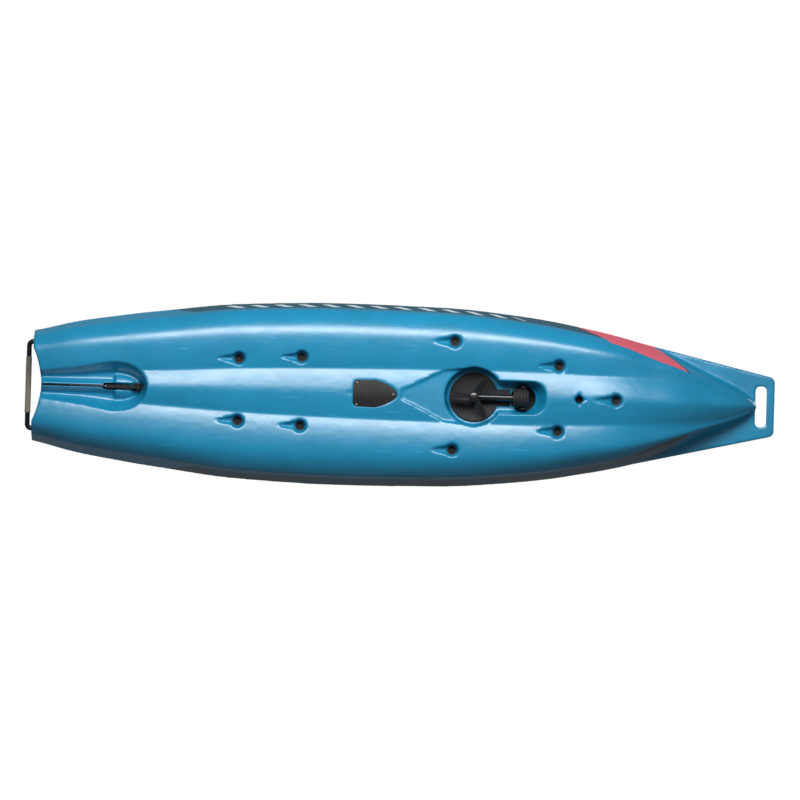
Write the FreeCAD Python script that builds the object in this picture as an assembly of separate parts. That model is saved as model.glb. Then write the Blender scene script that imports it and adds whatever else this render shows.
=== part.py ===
"""A sit-on-top pedal kayak: moulded hull, folding propeller drive, retracting rudder, seat, hatch and deck fittings.

Millimetres. +X to the bow, +Y to port, +Z up. Z = 0 is the keel's lowest line, and X = 0 is the middle of the length.
"""
import FreeCAD
import Part

import math
import os

V = FreeCAD.Vector
X_AXIS, Y_AXIS, Z_AXIS = V(1, 0, 0), V(0, 1, 0), V(0, 0, 1)

# ---------------------------------------------------------------- driving dimensions: hull
TRANSOM_X = -1860.0
STEM_X = 1808.0
BOW_END_X = 1900.5
WALL = 4.2                      # moulded wall
STATION_STEP = 160.0            # spacing of the loft's sections

# One row for each station: X, then half widths and heights of the section's corners.
#            X  wall top  chine  crown  crease | keel  crease  crown  chine  wall top  deck
STATIONS = (
    (-1860.0, 281.0, 250.0, 165.0,  70.0,  40.0,  54.0,  42.0, 106.0, 285.0, 312.0),
    (-1600.0, 341.0, 303.0, 195.0,  73.0,  18.0,  36.0,  20.0,  90.0, 283.0, 318.0),
    (-1200.0, 400.0, 357.0, 232.0,  88.0,   4.0,  24.0,   5.0,  78.0, 280.0, 318.0),
    ( -800.0, 445.0, 401.0, 262.0, 111.0,   0.0,  20.0,   0.0,  72.0, 280.0, 318.0),
    ( -300.0, 462.0, 417.0, 275.0, 125.0,   0.0,  20.0,   0.0,  70.0, 280.0, 318.0),
    (  200.0, 455.0, 410.0, 275.0, 132.0,   0.0,  20.0,   0.0,  72.0, 284.0, 322.0),
    (  600.0, 423.0, 380.0, 258.0, 135.0,   0.0,  21.0,   4.0,  82.0, 292.0, 334.0),
    ( 1000.0, 357.0, 318.0, 222.0, 124.0,  14.0,  42.0,  34.0, 116.0, 304.0, 360.0),
    ( 1250.0, 293.0, 254.0, 186.0, 117.0,  46.0,  82.0,  86.0, 160.0, 313.0, 374.0),
    ( 1450.0, 208.0, 178.0, 138.0,  97.0,  96.0, 138.0, 147.0, 215.0, 320.0, 375.0),
    ( 1600.0, 143.0, 118.0,  98.0,  75.0, 158.0, 196.0, 206.0, 262.0, 325.0, 370.0),
    ( 1720.0,  76.0,  62.0,  50.0,  38.0, 232.0, 258.0, 266.0, 297.0, 329.0, 364.0),
    ( 1808.0,   6.0,   4.5,   3.2,   2.0, 312.0, 316.0, 318.0, 322.0, 332.0, 357.0),
)
SHOULDER_WIDTH, SHOULDER_RISE = 22.0, 24.0

FLANGE_THICK = 30.0             # the bow's carrying plate
FLANGE_AFT_X, FLANGE_AFT_HALF = 1000.0, 354.0
FLANGE_TAPER = 0.23             # half width lost for each unit of length
FLANGE_CORNER = 32.0
SLOT_X = (1804.0, 1860.0)       # hand hole through the plate
SLOT_HALF, SLOT_CORNER = 104.0, 20.0
SCOOP_DEPTH, SCOOP_HALF = 42.0, 185.0   # hollow across the transom

# Recesses in the deck: centre, half length, half width, narrowing to the bow, squareness.
COCKPIT = (273.0, 935.0, 330.0, 0.12, 4.0)
TANK = (-1042.0, 302.0, 290.0, -0.06, 5.0)
OVAL_POINTS = 48
FLOOR_Z = 115.0                 # cockpit floor
HUMP_X, HUMP_HALF, HUMP_TOP_Z = (205.0, 800.0), 166.0, 168.0
TANK_FLOOR_Z = 160.0
BIN_FLOOR_Z = 205.0
DECK_CUT_TOP = 460.0

SCUPPER_STEPS = ((-60.0, 36.0), (10.0, 31.5), (22.0, 27.5), (36.0, 23.5))    # height above the skin, radius
SCUPPER_PLUG_Z = 42.0           # how deep the plugs sit
TANK_SCUPPERS = ((-820.0, 157.0), (-820.0, -157.0))
COCKPIT_SCUPPERS = ((-503.0, 173.0), (-503.0, -173.0), (270.0, 274.0), (270.0, -274.0),
                    (800.0, 165.0), (800.0, -165.0), (1093.0, 0.0))
TEAR_LENGTH, TEAR_R = 128.0, 27.0       # fairing groove behind each scupper
STAR_X, STAR_R, STAR_ARM = 905.0, 20.5, 50.0
STAR_TOP_Z, STAR_NECK_R = 70.0, 17.0    # end of the bore, and the plugged hole above it

# ---------------------------------------------------------------- driving dimensions: drive
WELL_X, WELL_R, WELL_TOP_R = 373.0, 152.0, 140.0
WELL_CEILING = 105.0
PIVOT_X, PIVOT_Z = 622.0, 63.0          # knuckle that the leg folds about
LEG_SLOT_END_X, LEG_SLOT_HALF, LEG_SLOT_TOP_HALF = 748.0, 92.0, 66.0
KNUCKLE_HOLE_R = 63.0
RAMP_TIP_X = 0.0
PROP_R, PROP_Z, PROP_BLADE_THICK, PROP_SHAFT_R = 125.0, 23.5, 4.0, 6.0
HUB_LOW_Z, HUB_TOP_Z = 13.0, 42.0       # propeller hub, under the leg's gear nose
TRAY_R, TRAY_THICK = 124.0, 5.0

# ---------------------------------------------------------------- driving dimensions: rudder
RUDDER_PIVOT = V(-1327.0, 0.0, 62.0)
POCKET_CEILING = 96.0
RIB_CREST_Z = 58.0
BLADE_THICK, BLADE_CHORD, STOCK_R = 6.0, 96.0, 5.0
BLADE_ROOT_X, BLADE_TIP_X = -1490.0, -1800.0
STEER_ANGLE = 30.0
TRUNK_TOP_Z = 172.0

# ---------------------------------------------------------------- driving dimensions: fittings
COVER_X, COVER_HALF, COVER_SEAT_Z = (-238.0, -16.0), 69.0, 12.0
COVER_SCREWS = ((-219.0, 55.0), (-219.0, -55.0), (-34.0, 0.0))
SCREW_R, SCREW_HEAD_R, SCREW_HEAD_TALL = 2.5, 7.0, 2.2
SCREW_HEAD_SUNK = 0.6           # how far a head lies above the keel's own surface
PLUG_CUP_R = 18.5
STERN_HANDLE_X, STERN_HANDLE_Y, STERN_HANDLE_Z = -1884.0, 220.0, 214.0
STERN_TUBE_R, STERN_GRIP_R, STERN_GRIP_HALF = 12.5, 15.0, 142.0

HATCH_X, HATCH_HALF = (1242.0, 1540.0), 118.0
HATCH_SEAT_Z, HATCH_RIM_TALL, GASKET_TALL, LID_TALL = 362.0, 12.0, 3.0, 15.0
HINGE_R, HINGE_PIN_R = 8.0, 3.0
HINGE_Y = (24.0, 66.0)                  # inner end of the lid's barrel and outer end of the fixed one
LATCH_X, LATCH_Y, LATCH_R = 1262.0, 62.0, 15.0

TRACKS = ((-480.0, -200.0), (120.0, 360.0))
TRACK_Y, TRACK_WIDTH, TRACK_TALL, TRACK_SEAT_Z = 388.0, 26.0, 12.0, 303.0
TRACK_SLOT, TRACK_MOUTH, TRACK_LIP = 18.0, 10.0, 3.0
HANDLE_X, HANDLE_BASE_R = -40.0, 30.0
DRAIN_XY, DRAIN_R, DRAIN_SEAT_Z = (-1650.0, 150.0), 20.0, 305.0
ROD_X, ROD_Y, ROD_LEAN, ROD_DEPTH = -690.0, 352.0, 22.0, 190.0
ROD_R, ROD_WALL, ROD_FLANGE_R, ROD_FLANGE_TALL = 27.0, 3.5, 38.0, 5.0

RUNNING = 0.06                          # radial clearance of a shaft in its hole
CRANK_Z, CRANK_R, CRANK_LENGTH = 450.0, 12.0, 150.0
CASE_R, CASE_HALF, CASE_WALL = 62.0, 42.0, 5.0
COLUMN_R, COLUMN_WALL = 34.0, 5.0
ARM_Y, ARM_THICK = 62.0, 13.0           # inner face and thickness of the crank arms
PEDAL_LONG, PEDAL_WIDE, PEDAL_TALL, SPINDLE_R = 98.0, 92.0, 24.0, 6.0
BASE_R, BASE_TALL = 92.0, 12.0
LEG_R, LEG_BORE, KNUCKLE_R, KNUCKLE_HALF = 16.0, 12.0, 24.0, 33.0
BOOT_R, BOOT_AFT, BOOT_FORWARD, PIN_R = 49.0, 50.0, 32.0, 8.0    # boot reaches aft and forward of the pivot
FORK_Y, FORK_THICK, FORK_HALF = 52.0, 6.0, 20.0
NOSE_R, HUB_R, BLADE_PITCH = 24.0, 26.0, 42.0
HEAD_R, HEAD_HALF, CHEEK_THICK = 14.0, 9.8, 4.0                  # rudder head's hub and its bracket

SEAT_Y, SEAT_X, SEAT_Z = 222.0, (-535.0, -130.0), 290.0
SEAT_TUBE_R, BACK_TUBE_R, SEAT_CORNER = 12.5, 11.0, 60.0
RAIL_X, RAIL_WIDE, RAIL_TALL = (-560.0, -30.0), 34.0, 18.0
BACK_PIVOT = V(-555.0, 0.0, 372.0)
BACK_Y, BACK_TALL, BACK_LEAN = 196.0, 380.0, 12.0
SEAT_SLIDE = 90.0


def along(x, column):
    """The value of a station column at x, by a monotone cubic between stations."""
    xs = [row[0] for row in STATIONS]
    ys = [row[column] for row in STATIONS]
    slopes = [(ys[i + 1] - ys[i]) / (xs[i + 1] - xs[i]) for i in range(len(xs) - 1)]

    def tangent(i):
        if i == 0 or i == len(xs) - 1:
            return slopes[0] if i == 0 else slopes[-1]
        before, after = slopes[i - 1], slopes[i]
        return 0.0 if before * after <= 0 else 2 * before * after / (before + after)

    x = min(max(x, xs[0]), xs[-1])
    i = max(k for k in range(len(xs) - 1) if xs[k] <= x)
    span = xs[i + 1] - xs[i]
    t = (x - xs[i]) / span
    return ((2 * t**3 - 3 * t**2 + 1) * ys[i] + (t**3 - 2 * t**2 + t) * span * tangent(i)
            + (3 * t**2 - 2 * t**3) * ys[i + 1] + (t**3 - t**2) * span * tangent(i + 1))


def spline(points):
    curve = Part.BSplineCurve()
    curve.interpolate(points)
    return curve.toShape()


def line(a, b):
    return Part.LineSegment(a, b).toShape()


def hull_section(x, inset):
    """The closed section at x, moved inwards by the inset."""
    top, chine, crown, crease, keel_z, crease_z, crown_z, chine_z, top_z, deck_z = (
        along(x, k) for k in range(1, 11))
    top, chine = top - inset, chine - inset
    keel_z, crease_z, crown_z = keel_z + inset, crease_z + inset, crown_z + inset
    chine_z, deck_z = chine_z + 0.4 * inset, deck_z - inset
    shoulder = top - min(SHOULDER_WIDTH, 0.4 * top)
    shoulder_z = top_z + min(SHOULDER_RISE, 0.6 * (deck_z - top_z)) - inset

    panel = [V(x, crease * k / 3.0, keel_z + (crease_z - keel_z) * abs(k / 3.0) ** 1.5)
             for k in range(-3, 4)]
    inner = [V(x, crown + (crease - crown) * k, crown_z + (crease_z - crown_z) * k**2)
             for k in (1.0, 0.66, 0.33, 0.0)]
    outer = [V(x, crown + (chine - crown) * k, crown_z + (chine_z - crown_z) * k**2.3)
             for k in (0.3, 0.55, 0.8, 1.0)]
    lobe = inner + outer
    deck = [V(x, shoulder * k, deck_z + (shoulder_z - deck_z) * k * k)
            for k in (1.0, 0.5, 0.0, -0.5, -1.0)]

    def mirrored(points):
        return [V(p.x, -p.y, p.z) for p in reversed(points)]

    wall = [V(x, chine, chine_z), V(x, top, top_z)]
    rim = [V(x, top, top_z), V(x, shoulder, shoulder_z)]
    edges = [spline(panel), spline(lobe), line(*wall), line(*rim), spline(deck)]
    edges += [line(*mirrored(rim)), line(*mirrored(wall)), spline(mirrored(lobe))]
    return Part.Wire(edges)


def hull_loft(first, last, inset):
    count = max(2, round((last - first) / STATION_STEP))
    xs = [first + (last - first) * k / count for k in range(count + 1)]
    return Part.makeLoft([hull_section(x, inset) for x in xs], True, False)


def oval(z, centre, half_length, half_width, narrowing, power, grow):
    """A flattened oval ring in plan, narrower towards the bow."""
    points = []
    for k in range(OVAL_POINTS):
        angle = 2 * math.pi * k / OVAL_POINTS
        c, s = math.cos(angle), math.sin(angle)
        u = math.copysign(abs(c) ** (2 / power), c)
        v = math.copysign(abs(s) ** (2 / power), s)
        points.append(V(centre + (half_length + grow) * u, (half_width + grow) * v * (1 - narrowing * u), z))
    curve = Part.BSplineCurve()
    curve.interpolate(points, True)
    return Part.Wire(curve.toShape())


def tub(size, floor_z, draft, grow):
    """A recess with sloping walls, from its floor to above the deck."""
    low = oval(floor_z - grow, *size, grow - draft)
    high = oval(DECK_CUT_TOP, *size, grow)
    return Part.makeLoft([low, high], True, True)


def prism(points, low_z, high_z):
    """A straight prism over an XY outline."""
    wire = Part.makePolygon([V(x, y, low_z) for x, y in points] + [V(*points[0], low_z)])
    return Part.Face(wire).extrude(V(0, 0, high_z - low_z))


def rounded_slab(x0, x1, half, radius, low_z, high_z):
    """A rectangle about the centreline with its upright edges rounded."""
    box = Part.makeBox(x1 - x0, 2 * half, high_z - low_z, V(x0, -half, low_z))
    upright = [e for e in box.Edges if abs(e.Vertexes[0].Z - e.Vertexes[1].Z) > 0.5]
    return box.makeFillet(radius, upright)


def cockpit(grow):
    hump = rounded_slab(HUMP_X[0] + grow, HUMP_X[1] - grow, HUMP_HALF - grow, 60, 0, HUMP_TOP_Z - grow)
    return tub(COCKPIT, FLOOR_Z, 30.0, grow).cut(hump)


def tank_well(grow):
    return tub(TANK, TANK_FLOOR_Z, 24.0, grow)


def bow_bin(grow):
    """Storage bin under the bow hatch."""
    return rounded_slab(1262 - grow, 1520 + grow, 96 + grow, 45, BIN_FLOOR_Z - grow, DECK_CUT_TOP)


def scupper(x, y, floor_z, grow):
    """Drain tube that narrows in steps from its mouth in the underside to the floor above."""
    mouth = bottom_z(x, y)
    heights = [mouth + height for height, radius in SCUPPER_STEPS] + [floor_z + 40.0]
    steps = []
    for k, (height, radius) in enumerate(SCUPPER_STEPS):
        steps.append(Part.makeCylinder(radius + grow, heights[k + 1] - heights[k] + grow, V(x, y, heights[k])))
    return steps[0].fuse(steps[1:])


def bottom_z(x, y):
    """Height of the hull's underside above its lowest line."""
    crown, crease, keel_z, crease_z, crown_z = (along(x, k) for k in (3, 4, 5, 6, 7))
    y = abs(y)
    if y <= crease:
        return keel_z + (crease_z - keel_z) * (y / crease) ** 1.5
    return crown_z + (crease_z - crown_z) * ((crown - y) / (crown - crease)) ** 2


def tear_groove(x, y, grow):
    """Cone laid in the underside, from its tip aft of a scupper into the scupper's side."""
    tip = V(x - TEAR_LENGTH, y, bottom_z(x - TEAR_LENGTH, y) - 1.0)
    end = V(x, y, bottom_z(x, y) + 12.0)
    return Part.makeCone(0.5 + grow, TEAR_R + grow, (end - tip).Length, tip, end - tip)


def star_hole(grow):
    """Bore with four short petals round its mouth, and a narrower hole on up to the cockpit floor."""
    z = bottom_z(STAR_X, 0)
    cuts = [Part.makeCylinder(STAR_R + grow, STAR_TOP_Z + grow + 60, V(STAR_X, 0, -60)),
            Part.makeCylinder(STAR_NECK_R + grow, 200, V(STAR_X, 0, 0))]
    for angle in (0, 90, 180, 270):
        way = V(math.cos(math.radians(angle)), math.sin(math.radians(angle)), 0)
        tip = V(STAR_X, 0, z - 1) + way * (STAR_ARM + grow)
        end = V(STAR_X, 0, z + 14)
        cuts.append(Part.makeCone(0.5 + grow, 13.0 + grow, (end - tip).Length, tip, end - tip))
    return cuts


def leg_slot(grow):
    """Slot pocket forward of the well, open to the well, with a round end."""
    def ring(z, half, end_x):
        radius = half * 0.8
        box = rounded_slab(WELL_X, end_x, half, radius, z, z + 1)
        return max(box.Faces, key=lambda f: (f.Area, -f.CenterOfMass.z)).OuterWire

    low = ring(-30.0, LEG_SLOT_HALF + grow, LEG_SLOT_END_X + 8 + grow)
    high = ring(WELL_CEILING + grow, LEG_SLOT_TOP_HALF + grow, PIVOT_X + 70 + grow)
    return Part.makeLoft([low, high], True, True)


def drive_pocket(grow):
    """Round propeller well, leg slot, the hole for the knuckle, and the ramp behind the well."""
    well = Part.makeCone(WELL_R + 4 + grow, WELL_TOP_R + grow, WELL_CEILING + grow + 30, V(WELL_X, 0, -30))
    hole = Part.makeCylinder(KNUCKLE_HOLE_R + grow, 260, V(PIVOT_X, 0, -30))
    return [well, leg_slot(grow), hole, drive_ramp(grow)]


def drive_ramp(grow):
    """Shallow fairing that deepens from its tip to the well."""
    g = grow
    outline = [(RAMP_TIP_X - g, 22 + g), (95, 66 + g), (215, 128 + g), (WELL_X, WELL_R - 6 + g)]
    outline += [(x, -y) for x, y in reversed(outline)]
    block = prism(outline, -30, 80)
    slope = Part.makePolygon([V(RAMP_TIP_X - 60, -300, -40), V(WELL_X + 60, -300, -40),
                              V(WELL_X + 60, -300, 52 + g), V(RAMP_TIP_X - 60, -300, 3 + g),
                              V(RAMP_TIP_X - 60, -300, -40)])
    return block.common(Part.Face(slope).extrude(V(0, 600, 0)))


def cover_recess(grow):
    """Flat seat for the keel cover plate and the groove that trails from it."""
    plate = cover_outline(1.5 + grow, -30, COVER_SEAT_Z + grow)
    tip_x, end_x = COVER_X[0] - 74, COVER_X[0] + 10
    tip, end = V(tip_x, 0, bottom_z(tip_x, 0) - 1), V(end_x, 0, -52)
    groove = Part.makeCone(0.5, COVER_HALF + grow, (end - tip).Length, tip, end - tip)
    keep = Part.makeBox(140, 200, 60, V(tip_x - 18, -100, COVER_SEAT_Z + grow - 60))
    return [plate, groove.common(keep)]


def cover_outline(grow, low_z, high_z):
    """Shield shape: straight across the back, drawn in to a round nose."""
    x0, x1, half = COVER_X[0] - grow, COVER_X[1] + grow, COVER_HALF + grow
    nose = spline([V(x0 + 95, half, low_z), V(x1 - 55, half * 0.74, low_z), V(x1, 0, low_z),
                   V(x1 - 55, -half * 0.74, low_z), V(x0 + 95, -half, low_z)])
    wire = Part.Wire([line(V(x0 + 95, -half, low_z), V(x0 + 14, -half + 2, low_z)),
                      line(V(x0 + 14, -half + 2, low_z), V(x0, -half + 16, low_z)),
                      line(V(x0, -half + 16, low_z), V(x0, half - 16, low_z)),
                      line(V(x0, half - 16, low_z), V(x0 + 14, half - 2, low_z)),
                      line(V(x0 + 14, half - 2, low_z), V(x0 + 95, half, low_z)), nose])
    return Part.Face(wire).extrude(V(0, 0, high_z - low_z))


def rudder_pocket(grow):
    """Recess open at the transom, with the slotted rib and the domed pivot seat left standing in it."""
    low = [(-1900, 78), (-1700, 92), (-1560, 107), (-1445, 123), (-1360, 108), (-1302, 66), (-1282, 0)]
    high = [(-1900, 44), (-1700, 50), (-1560, 60), (-1445, 72), (-1375, 66), (-1330, 40), (-1312, 0)]

    def ring(points, z):
        g = grow
        port = [V(x + (g if y < 100 and x > -1400 else 0), y + g if y else 0, z) for x, y in points]
        starboard = [V(p.x, -p.y, p.z) for p in reversed(port)]
        nose = spline(port + starboard[1:])
        return Part.Wire([nose, line(starboard[-1], port[0])])

    rings = [ring(low, -20), ring(low, RUDDER_PIVOT.z - 35), ring(high, POCKET_CEILING + grow)]
    recess = Part.makeLoft(rings, True, True)
    if grow:
        return [recess, trunk(grow)]
    rib_ends = [V(-1900, -39, 100), V(-1900, -9, RIB_CREST_Z), V(-1900, 9, RIB_CREST_Z), V(-1900, 39, 100)]
    rib = Part.Face(Part.makePolygon(rib_ends + [rib_ends[0]])).extrude(V(1900 - 1448, 0, 0))
    dome = Part.makeSphere(60).transformGeometry(stretch(2.15, 1.0, 0.62))
    dome.translate(V(-1442, 0, 100))
    dome = dome.common(Part.makeBox(200, 200, 100, V(-1442, -100, 20)))
    return [recess.cut([rib, dome]), trunk(0)]


def stretch(x, y, z):
    matrix = FreeCAD.Matrix()
    matrix.scale(V(x, y, z))
    return matrix


def trunk(grow):
    """Wedge-shaped case over the rib's slit: it takes the blade lifted, at any steering angle."""
    slit = BLADE_THICK / 2 + 1.6 + grow
    spread = (TRUNK_TOP_Z - RIB_CREST_Z) * math.tan(math.radians(STEER_ANGLE + 1.5)) + grow * 1.2
    corners = [V(-1900, -slit, -30), V(-1900, -slit, RIB_CREST_Z + 4), V(-1900, -slit - spread, TRUNK_TOP_Z + grow),
               V(-1900, slit + spread, TRUNK_TOP_Z + grow), V(-1900, slit, RIB_CREST_Z + 4), V(-1900, slit, -30)]
    case = Part.Face(Part.makePolygon(corners + [corners[0]])).extrude(V(1900 - 1440 + grow, 0, 0))
    x = RUDDER_PIVOT.x
    yoke_room = centred_box(-1500 - grow, x + 27 + grow, 15 + grow, -30, 92 + grow)
    bracket_room = centred_box(x - 28 - grow, x + 28 + grow, 21 + grow, -30, POCKET_CEILING + grow)
    return case.fuse([yoke_room, bracket_room])


def centred_box(x0, x1, half, z0, z1):
    return Part.makeBox(x1 - x0, 2 * half, z1 - z0, V(x0, -half, z0))


def bow_flange():
    """The flat plate that carries the hull's edge on to the squared bow and holds the hand hole."""
    end_half = FLANGE_AFT_HALF - FLANGE_TAPER * (BOW_END_X - FLANGE_AFT_X)
    z0 = along(FLANGE_AFT_X, 9)
    plate = prism([(FLANGE_AFT_X, FLANGE_AFT_HALF), (FLANGE_AFT_X, -FLANGE_AFT_HALF),
                   (BOW_END_X, -end_half), (BOW_END_X, end_half)], z0, z0 + FLANGE_THICK)
    corners = [e for e in plate.Edges if abs(e.Vertexes[0].Z - e.Vertexes[1].Z) > 1
               and e.Vertexes[0].X > 1800]
    plate = plate.makeFillet(FLANGE_CORNER, corners)
    slot = rounded_slab(SLOT_X[0], SLOT_X[1], SLOT_HALF, SLOT_CORNER, z0 - 50, z0 + 100)
    plate = plate.cut(slot)
    rise = along(STEM_X, 9) - z0
    plate.rotate(V(FLANGE_AFT_X, 0, z0), Y_AXIS, -math.degrees(math.atan2(rise, STEM_X - FLANGE_AFT_X)))
    return plate


def deck_z(x, y):
    """Height of the deck's crowned top."""
    top, top_z, crown_z = along(x, 1), along(x, 9), along(x, 10)
    shoulder = top - min(SHOULDER_WIDTH, 0.4 * top)
    shoulder_z = top_z + min(SHOULDER_RISE, 0.6 * (crown_z - top_z))
    return crown_z + (shoulder_z - crown_z) * (y / shoulder) ** 2


def deck_seats(grow):
    """Flats and sockets moulded in the deck for its fittings."""
    g = grow
    seats = [rounded_slab(HATCH_X[0] - 24 - g, HATCH_X[1] + 24 + g, HATCH_HALF + 24 + g, 50,
                          HATCH_SEAT_Z - g, DECK_CUT_TOP)]
    for x0, x1 in TRACKS:
        for side in (1, -1):
            seats.append(Part.makeBox(x1 - x0 + 2 * g, TRACK_WIDTH + 2 * g, 60,
                                      V(x0 - g, side * TRACK_Y - TRACK_WIDTH / 2 - g, TRACK_SEAT_Z - g)))
    seats.append(Part.makeCylinder(HANDLE_BASE_R + g, 60, V(HANDLE_X, TRACK_Y, TRACK_SEAT_Z - g)))
    seats.append(Part.makeCylinder(DRAIN_R + g, 60, V(*DRAIN_XY, DRAIN_SEAT_Z - g)))
    for side in (1, -1):
        foot, way = rod_holder_axis(side)
        seats.append(Part.makeCylinder(ROD_R + 4 + g, ROD_DEPTH + 100 + g, foot - way * g, way))
        seats.append(Part.makeCylinder(ROD_FLANGE_R + g, 100, foot + way * (ROD_DEPTH - g), way))
    return seats


def rod_holder_axis(side):
    """Bottom of a rod holder's socket, and its direction."""
    lean = math.radians(ROD_LEAN)
    way = V(-math.sin(lean), 0, math.cos(lean))
    top = V(ROD_X, side * ROD_Y, deck_z(ROD_X, ROD_Y) - 2.0)
    return top - way * ROD_DEPTH, way


def openings(grow):
    """Everything cut out of the moulding, each grown by the given wall."""
    cuts = [cockpit(grow), tank_well(grow), bow_bin(grow)]
    cuts += drive_pocket(grow) + cover_recess(grow) + rudder_pocket(grow) + star_hole(grow)
    cuts += deck_seats(grow)
    for spots, floor_z in ((TANK_SCUPPERS, TANK_FLOOR_Z), (COCKPIT_SCUPPERS, FLOOR_Z)):
        for x, y in spots:
            cuts += [scupper(x, y, floor_z, grow), tear_groove(x, y, grow)]
    return cuts


def hull():
    """The moulding: an outside skin and a sealed hollow inside it."""
    radius = (SCOOP_HALF**2 + SCOOP_DEPTH**2) / (2 * SCOOP_DEPTH)
    centre = V(TRANSOM_X + SCOOP_DEPTH - radius, 0, -100)
    scoop = Part.makeCylinder(radius, 700, centre)
    outside = hull_loft(TRANSOM_X, STEM_X, 0.0).fuse(bow_flange()).cut([scoop] + openings(0.0))
    outside = outside.cut([Part.makeCylinder(SCREW_R, 20, V(x, y, -5)) for x, y in COVER_SCREWS])
    deep_scoop = Part.makeCylinder(radius + WALL, 700, centre)
    hollow = hull_loft(TRANSOM_X + WALL, STEM_X - 150, WALL).cut([deep_scoop] + openings(WALL))
    cavity = max(hollow.Solids, key=lambda solid: solid.Volume)
    return Part.makeSolid(Part.makeCompound([outside.Solids[0].Shells[0], cavity.Shells[0].reversed()]))


# ---------------------------------------------------------------- hull trim
def scupper_plugs():
    """Push-in plugs: a cup with a pull stud in each drain, and a flanged stopper above the star hole."""
    plugs = []
    for spots, floor_z in ((TANK_SCUPPERS, TANK_FLOOR_Z), (COCKPIT_SCUPPERS, FLOOR_Z)):
        for x, y in spots:
            low = bottom_z(x, y) + SCUPPER_PLUG_Z
            cup = Part.makeCylinder(SCUPPER_STEPS[-1][1], 22, V(x, y, low))
            cup = cup.cut(Part.makeCylinder(PLUG_CUP_R, 14, V(x, y, low)))
            plugs.append(cup.fuse(Part.makeCylinder(5, 15, V(x, y, low))))
    star_plug = Part.makeCylinder(STAR_NECK_R, FLOOR_Z - STAR_TOP_Z, V(STAR_X, 0, STAR_TOP_Z))
    plugs.append(star_plug.fuse(Part.makeCylinder(STAR_NECK_R + 8, 4, V(STAR_X, 0, FLOOR_Z))))
    return Part.makeCompound(plugs)


def keel_cover():
    """Shield-shaped plate let into the keel, with a counterbored hole for each screw."""
    plate = cover_outline(0.0, -30, COVER_SEAT_Z).common(hull_loft(-300, 60, 1.0))
    holes = []
    for x, y in COVER_SCREWS:
        head_top = screw_head_z(x, y) + SCREW_HEAD_TALL
        holes.append(Part.makeCylinder(SCREW_R, 60, V(x, y, -30)))
        holes.append(Part.makeCylinder(SCREW_HEAD_R + 0.5, head_top + 30, V(x, y, -30)))
    return plate.cut(holes)


def screw_head_z(x, y):
    """Height of the lowest face of a cover screw's head."""
    return bottom_z(x, y) + SCREW_HEAD_SUNK


def keel_cover_screws():
    screws = []
    for x, y in COVER_SCREWS:
        low = screw_head_z(x, y)
        shank = Part.makeCylinder(SCREW_R, COVER_SEAT_Z + 3 - low, V(x, y, low))
        head = Part.makeCone(SCREW_HEAD_R - 2, SCREW_HEAD_R, SCREW_HEAD_TALL, V(x, y, low))
        socket = Part.makeCylinder(2.2, 1.5, V(x, y, low))
        screws.append(shank.fuse(head).cut(socket))
    return Part.makeCompound(screws)


def drive_tray():
    z = WELL_CEILING - TRAY_THICK
    disc = Part.makeCylinder(TRAY_R, TRAY_THICK, V(WELL_X, 0, z))
    arm = centred_box(WELL_X, PIVOT_X - KNUCKLE_HOLE_R - 4, 42, z, WELL_CEILING)
    rim = Part.makeCylinder(TRAY_R, TRAY_THICK, V(WELL_X, 0, z - TRAY_THICK))
    rim = rim.cut([Part.makeCylinder(TRAY_R - 6, 20, V(WELL_X, 0, z - 10)),
                   centred_box(WELL_X, WELL_X + 200, 42, z - 10, z)])
    return disc.fuse([arm, rim])


def stern_handle():
    """Bent tube across the transom, its ends socketed in two feet."""
    reach, y, z = STERN_HANDLE_X, STERN_HANDLE_Y, STERN_HANDLE_Z
    start, end = V(TRANSOM_X, y, z), V(TRANSOM_X, -y, z)
    bend = TRANSOM_X - reach - 2
    arc_mid = bend * (1 - math.sqrt(0.5))
    path = Part.Wire([
        line(start, V(reach + bend, y, z)),
        Part.Arc(V(reach + bend, y, z), V(reach + arc_mid, y - arc_mid, z), V(reach, y - bend, z)).toShape(),
        line(V(reach, y - bend, z), V(reach, -y + bend, z)),
        Part.Arc(V(reach, -y + bend, z), V(reach + arc_mid, -y + arc_mid, z), V(reach + bend, -y, z)).toShape(),
        line(V(reach + bend, -y, z), end)])
    return sweep(path, STERN_TUBE_R)


def sweep(path, radius):
    """Round tube along a wire of lines and tangent arcs."""
    first = path.Edges[0]
    start = first.valueAt(first.FirstParameter)
    way = first.tangentAt(first.FirstParameter)
    ring = Part.Wire(Part.makeCircle(radius, start, way))
    return path.makePipeShell([ring], True, False)


def stern_handle_grip():
    y = STERN_GRIP_HALF
    outer = Part.makeCylinder(STERN_GRIP_R, 2 * y, V(STERN_HANDLE_X, -y, STERN_HANDLE_Z), Y_AXIS)
    return outer.cut(Part.makeCylinder(STERN_TUBE_R, 2 * y, V(STERN_HANDLE_X, -y, STERN_HANDLE_Z), Y_AXIS))


# ---------------------------------------------------------------- pedal drive
def post(radius, x, y, z0, z1):
    """Upright cylinder."""
    return Part.makeCylinder(radius, z1 - z0, V(x, y, z0))


def barrel(radius, x, z, y0, y1):
    """Cylinder across the hull."""
    return Part.makeCylinder(radius, y1 - y0, V(x, y0, z), Y_AXIS)


def rod(radius, x0, x1, y, z):
    """Cylinder along the hull."""
    return Part.makeCylinder(radius, x1 - x0, V(x0, y, z), X_AXIS)


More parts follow.
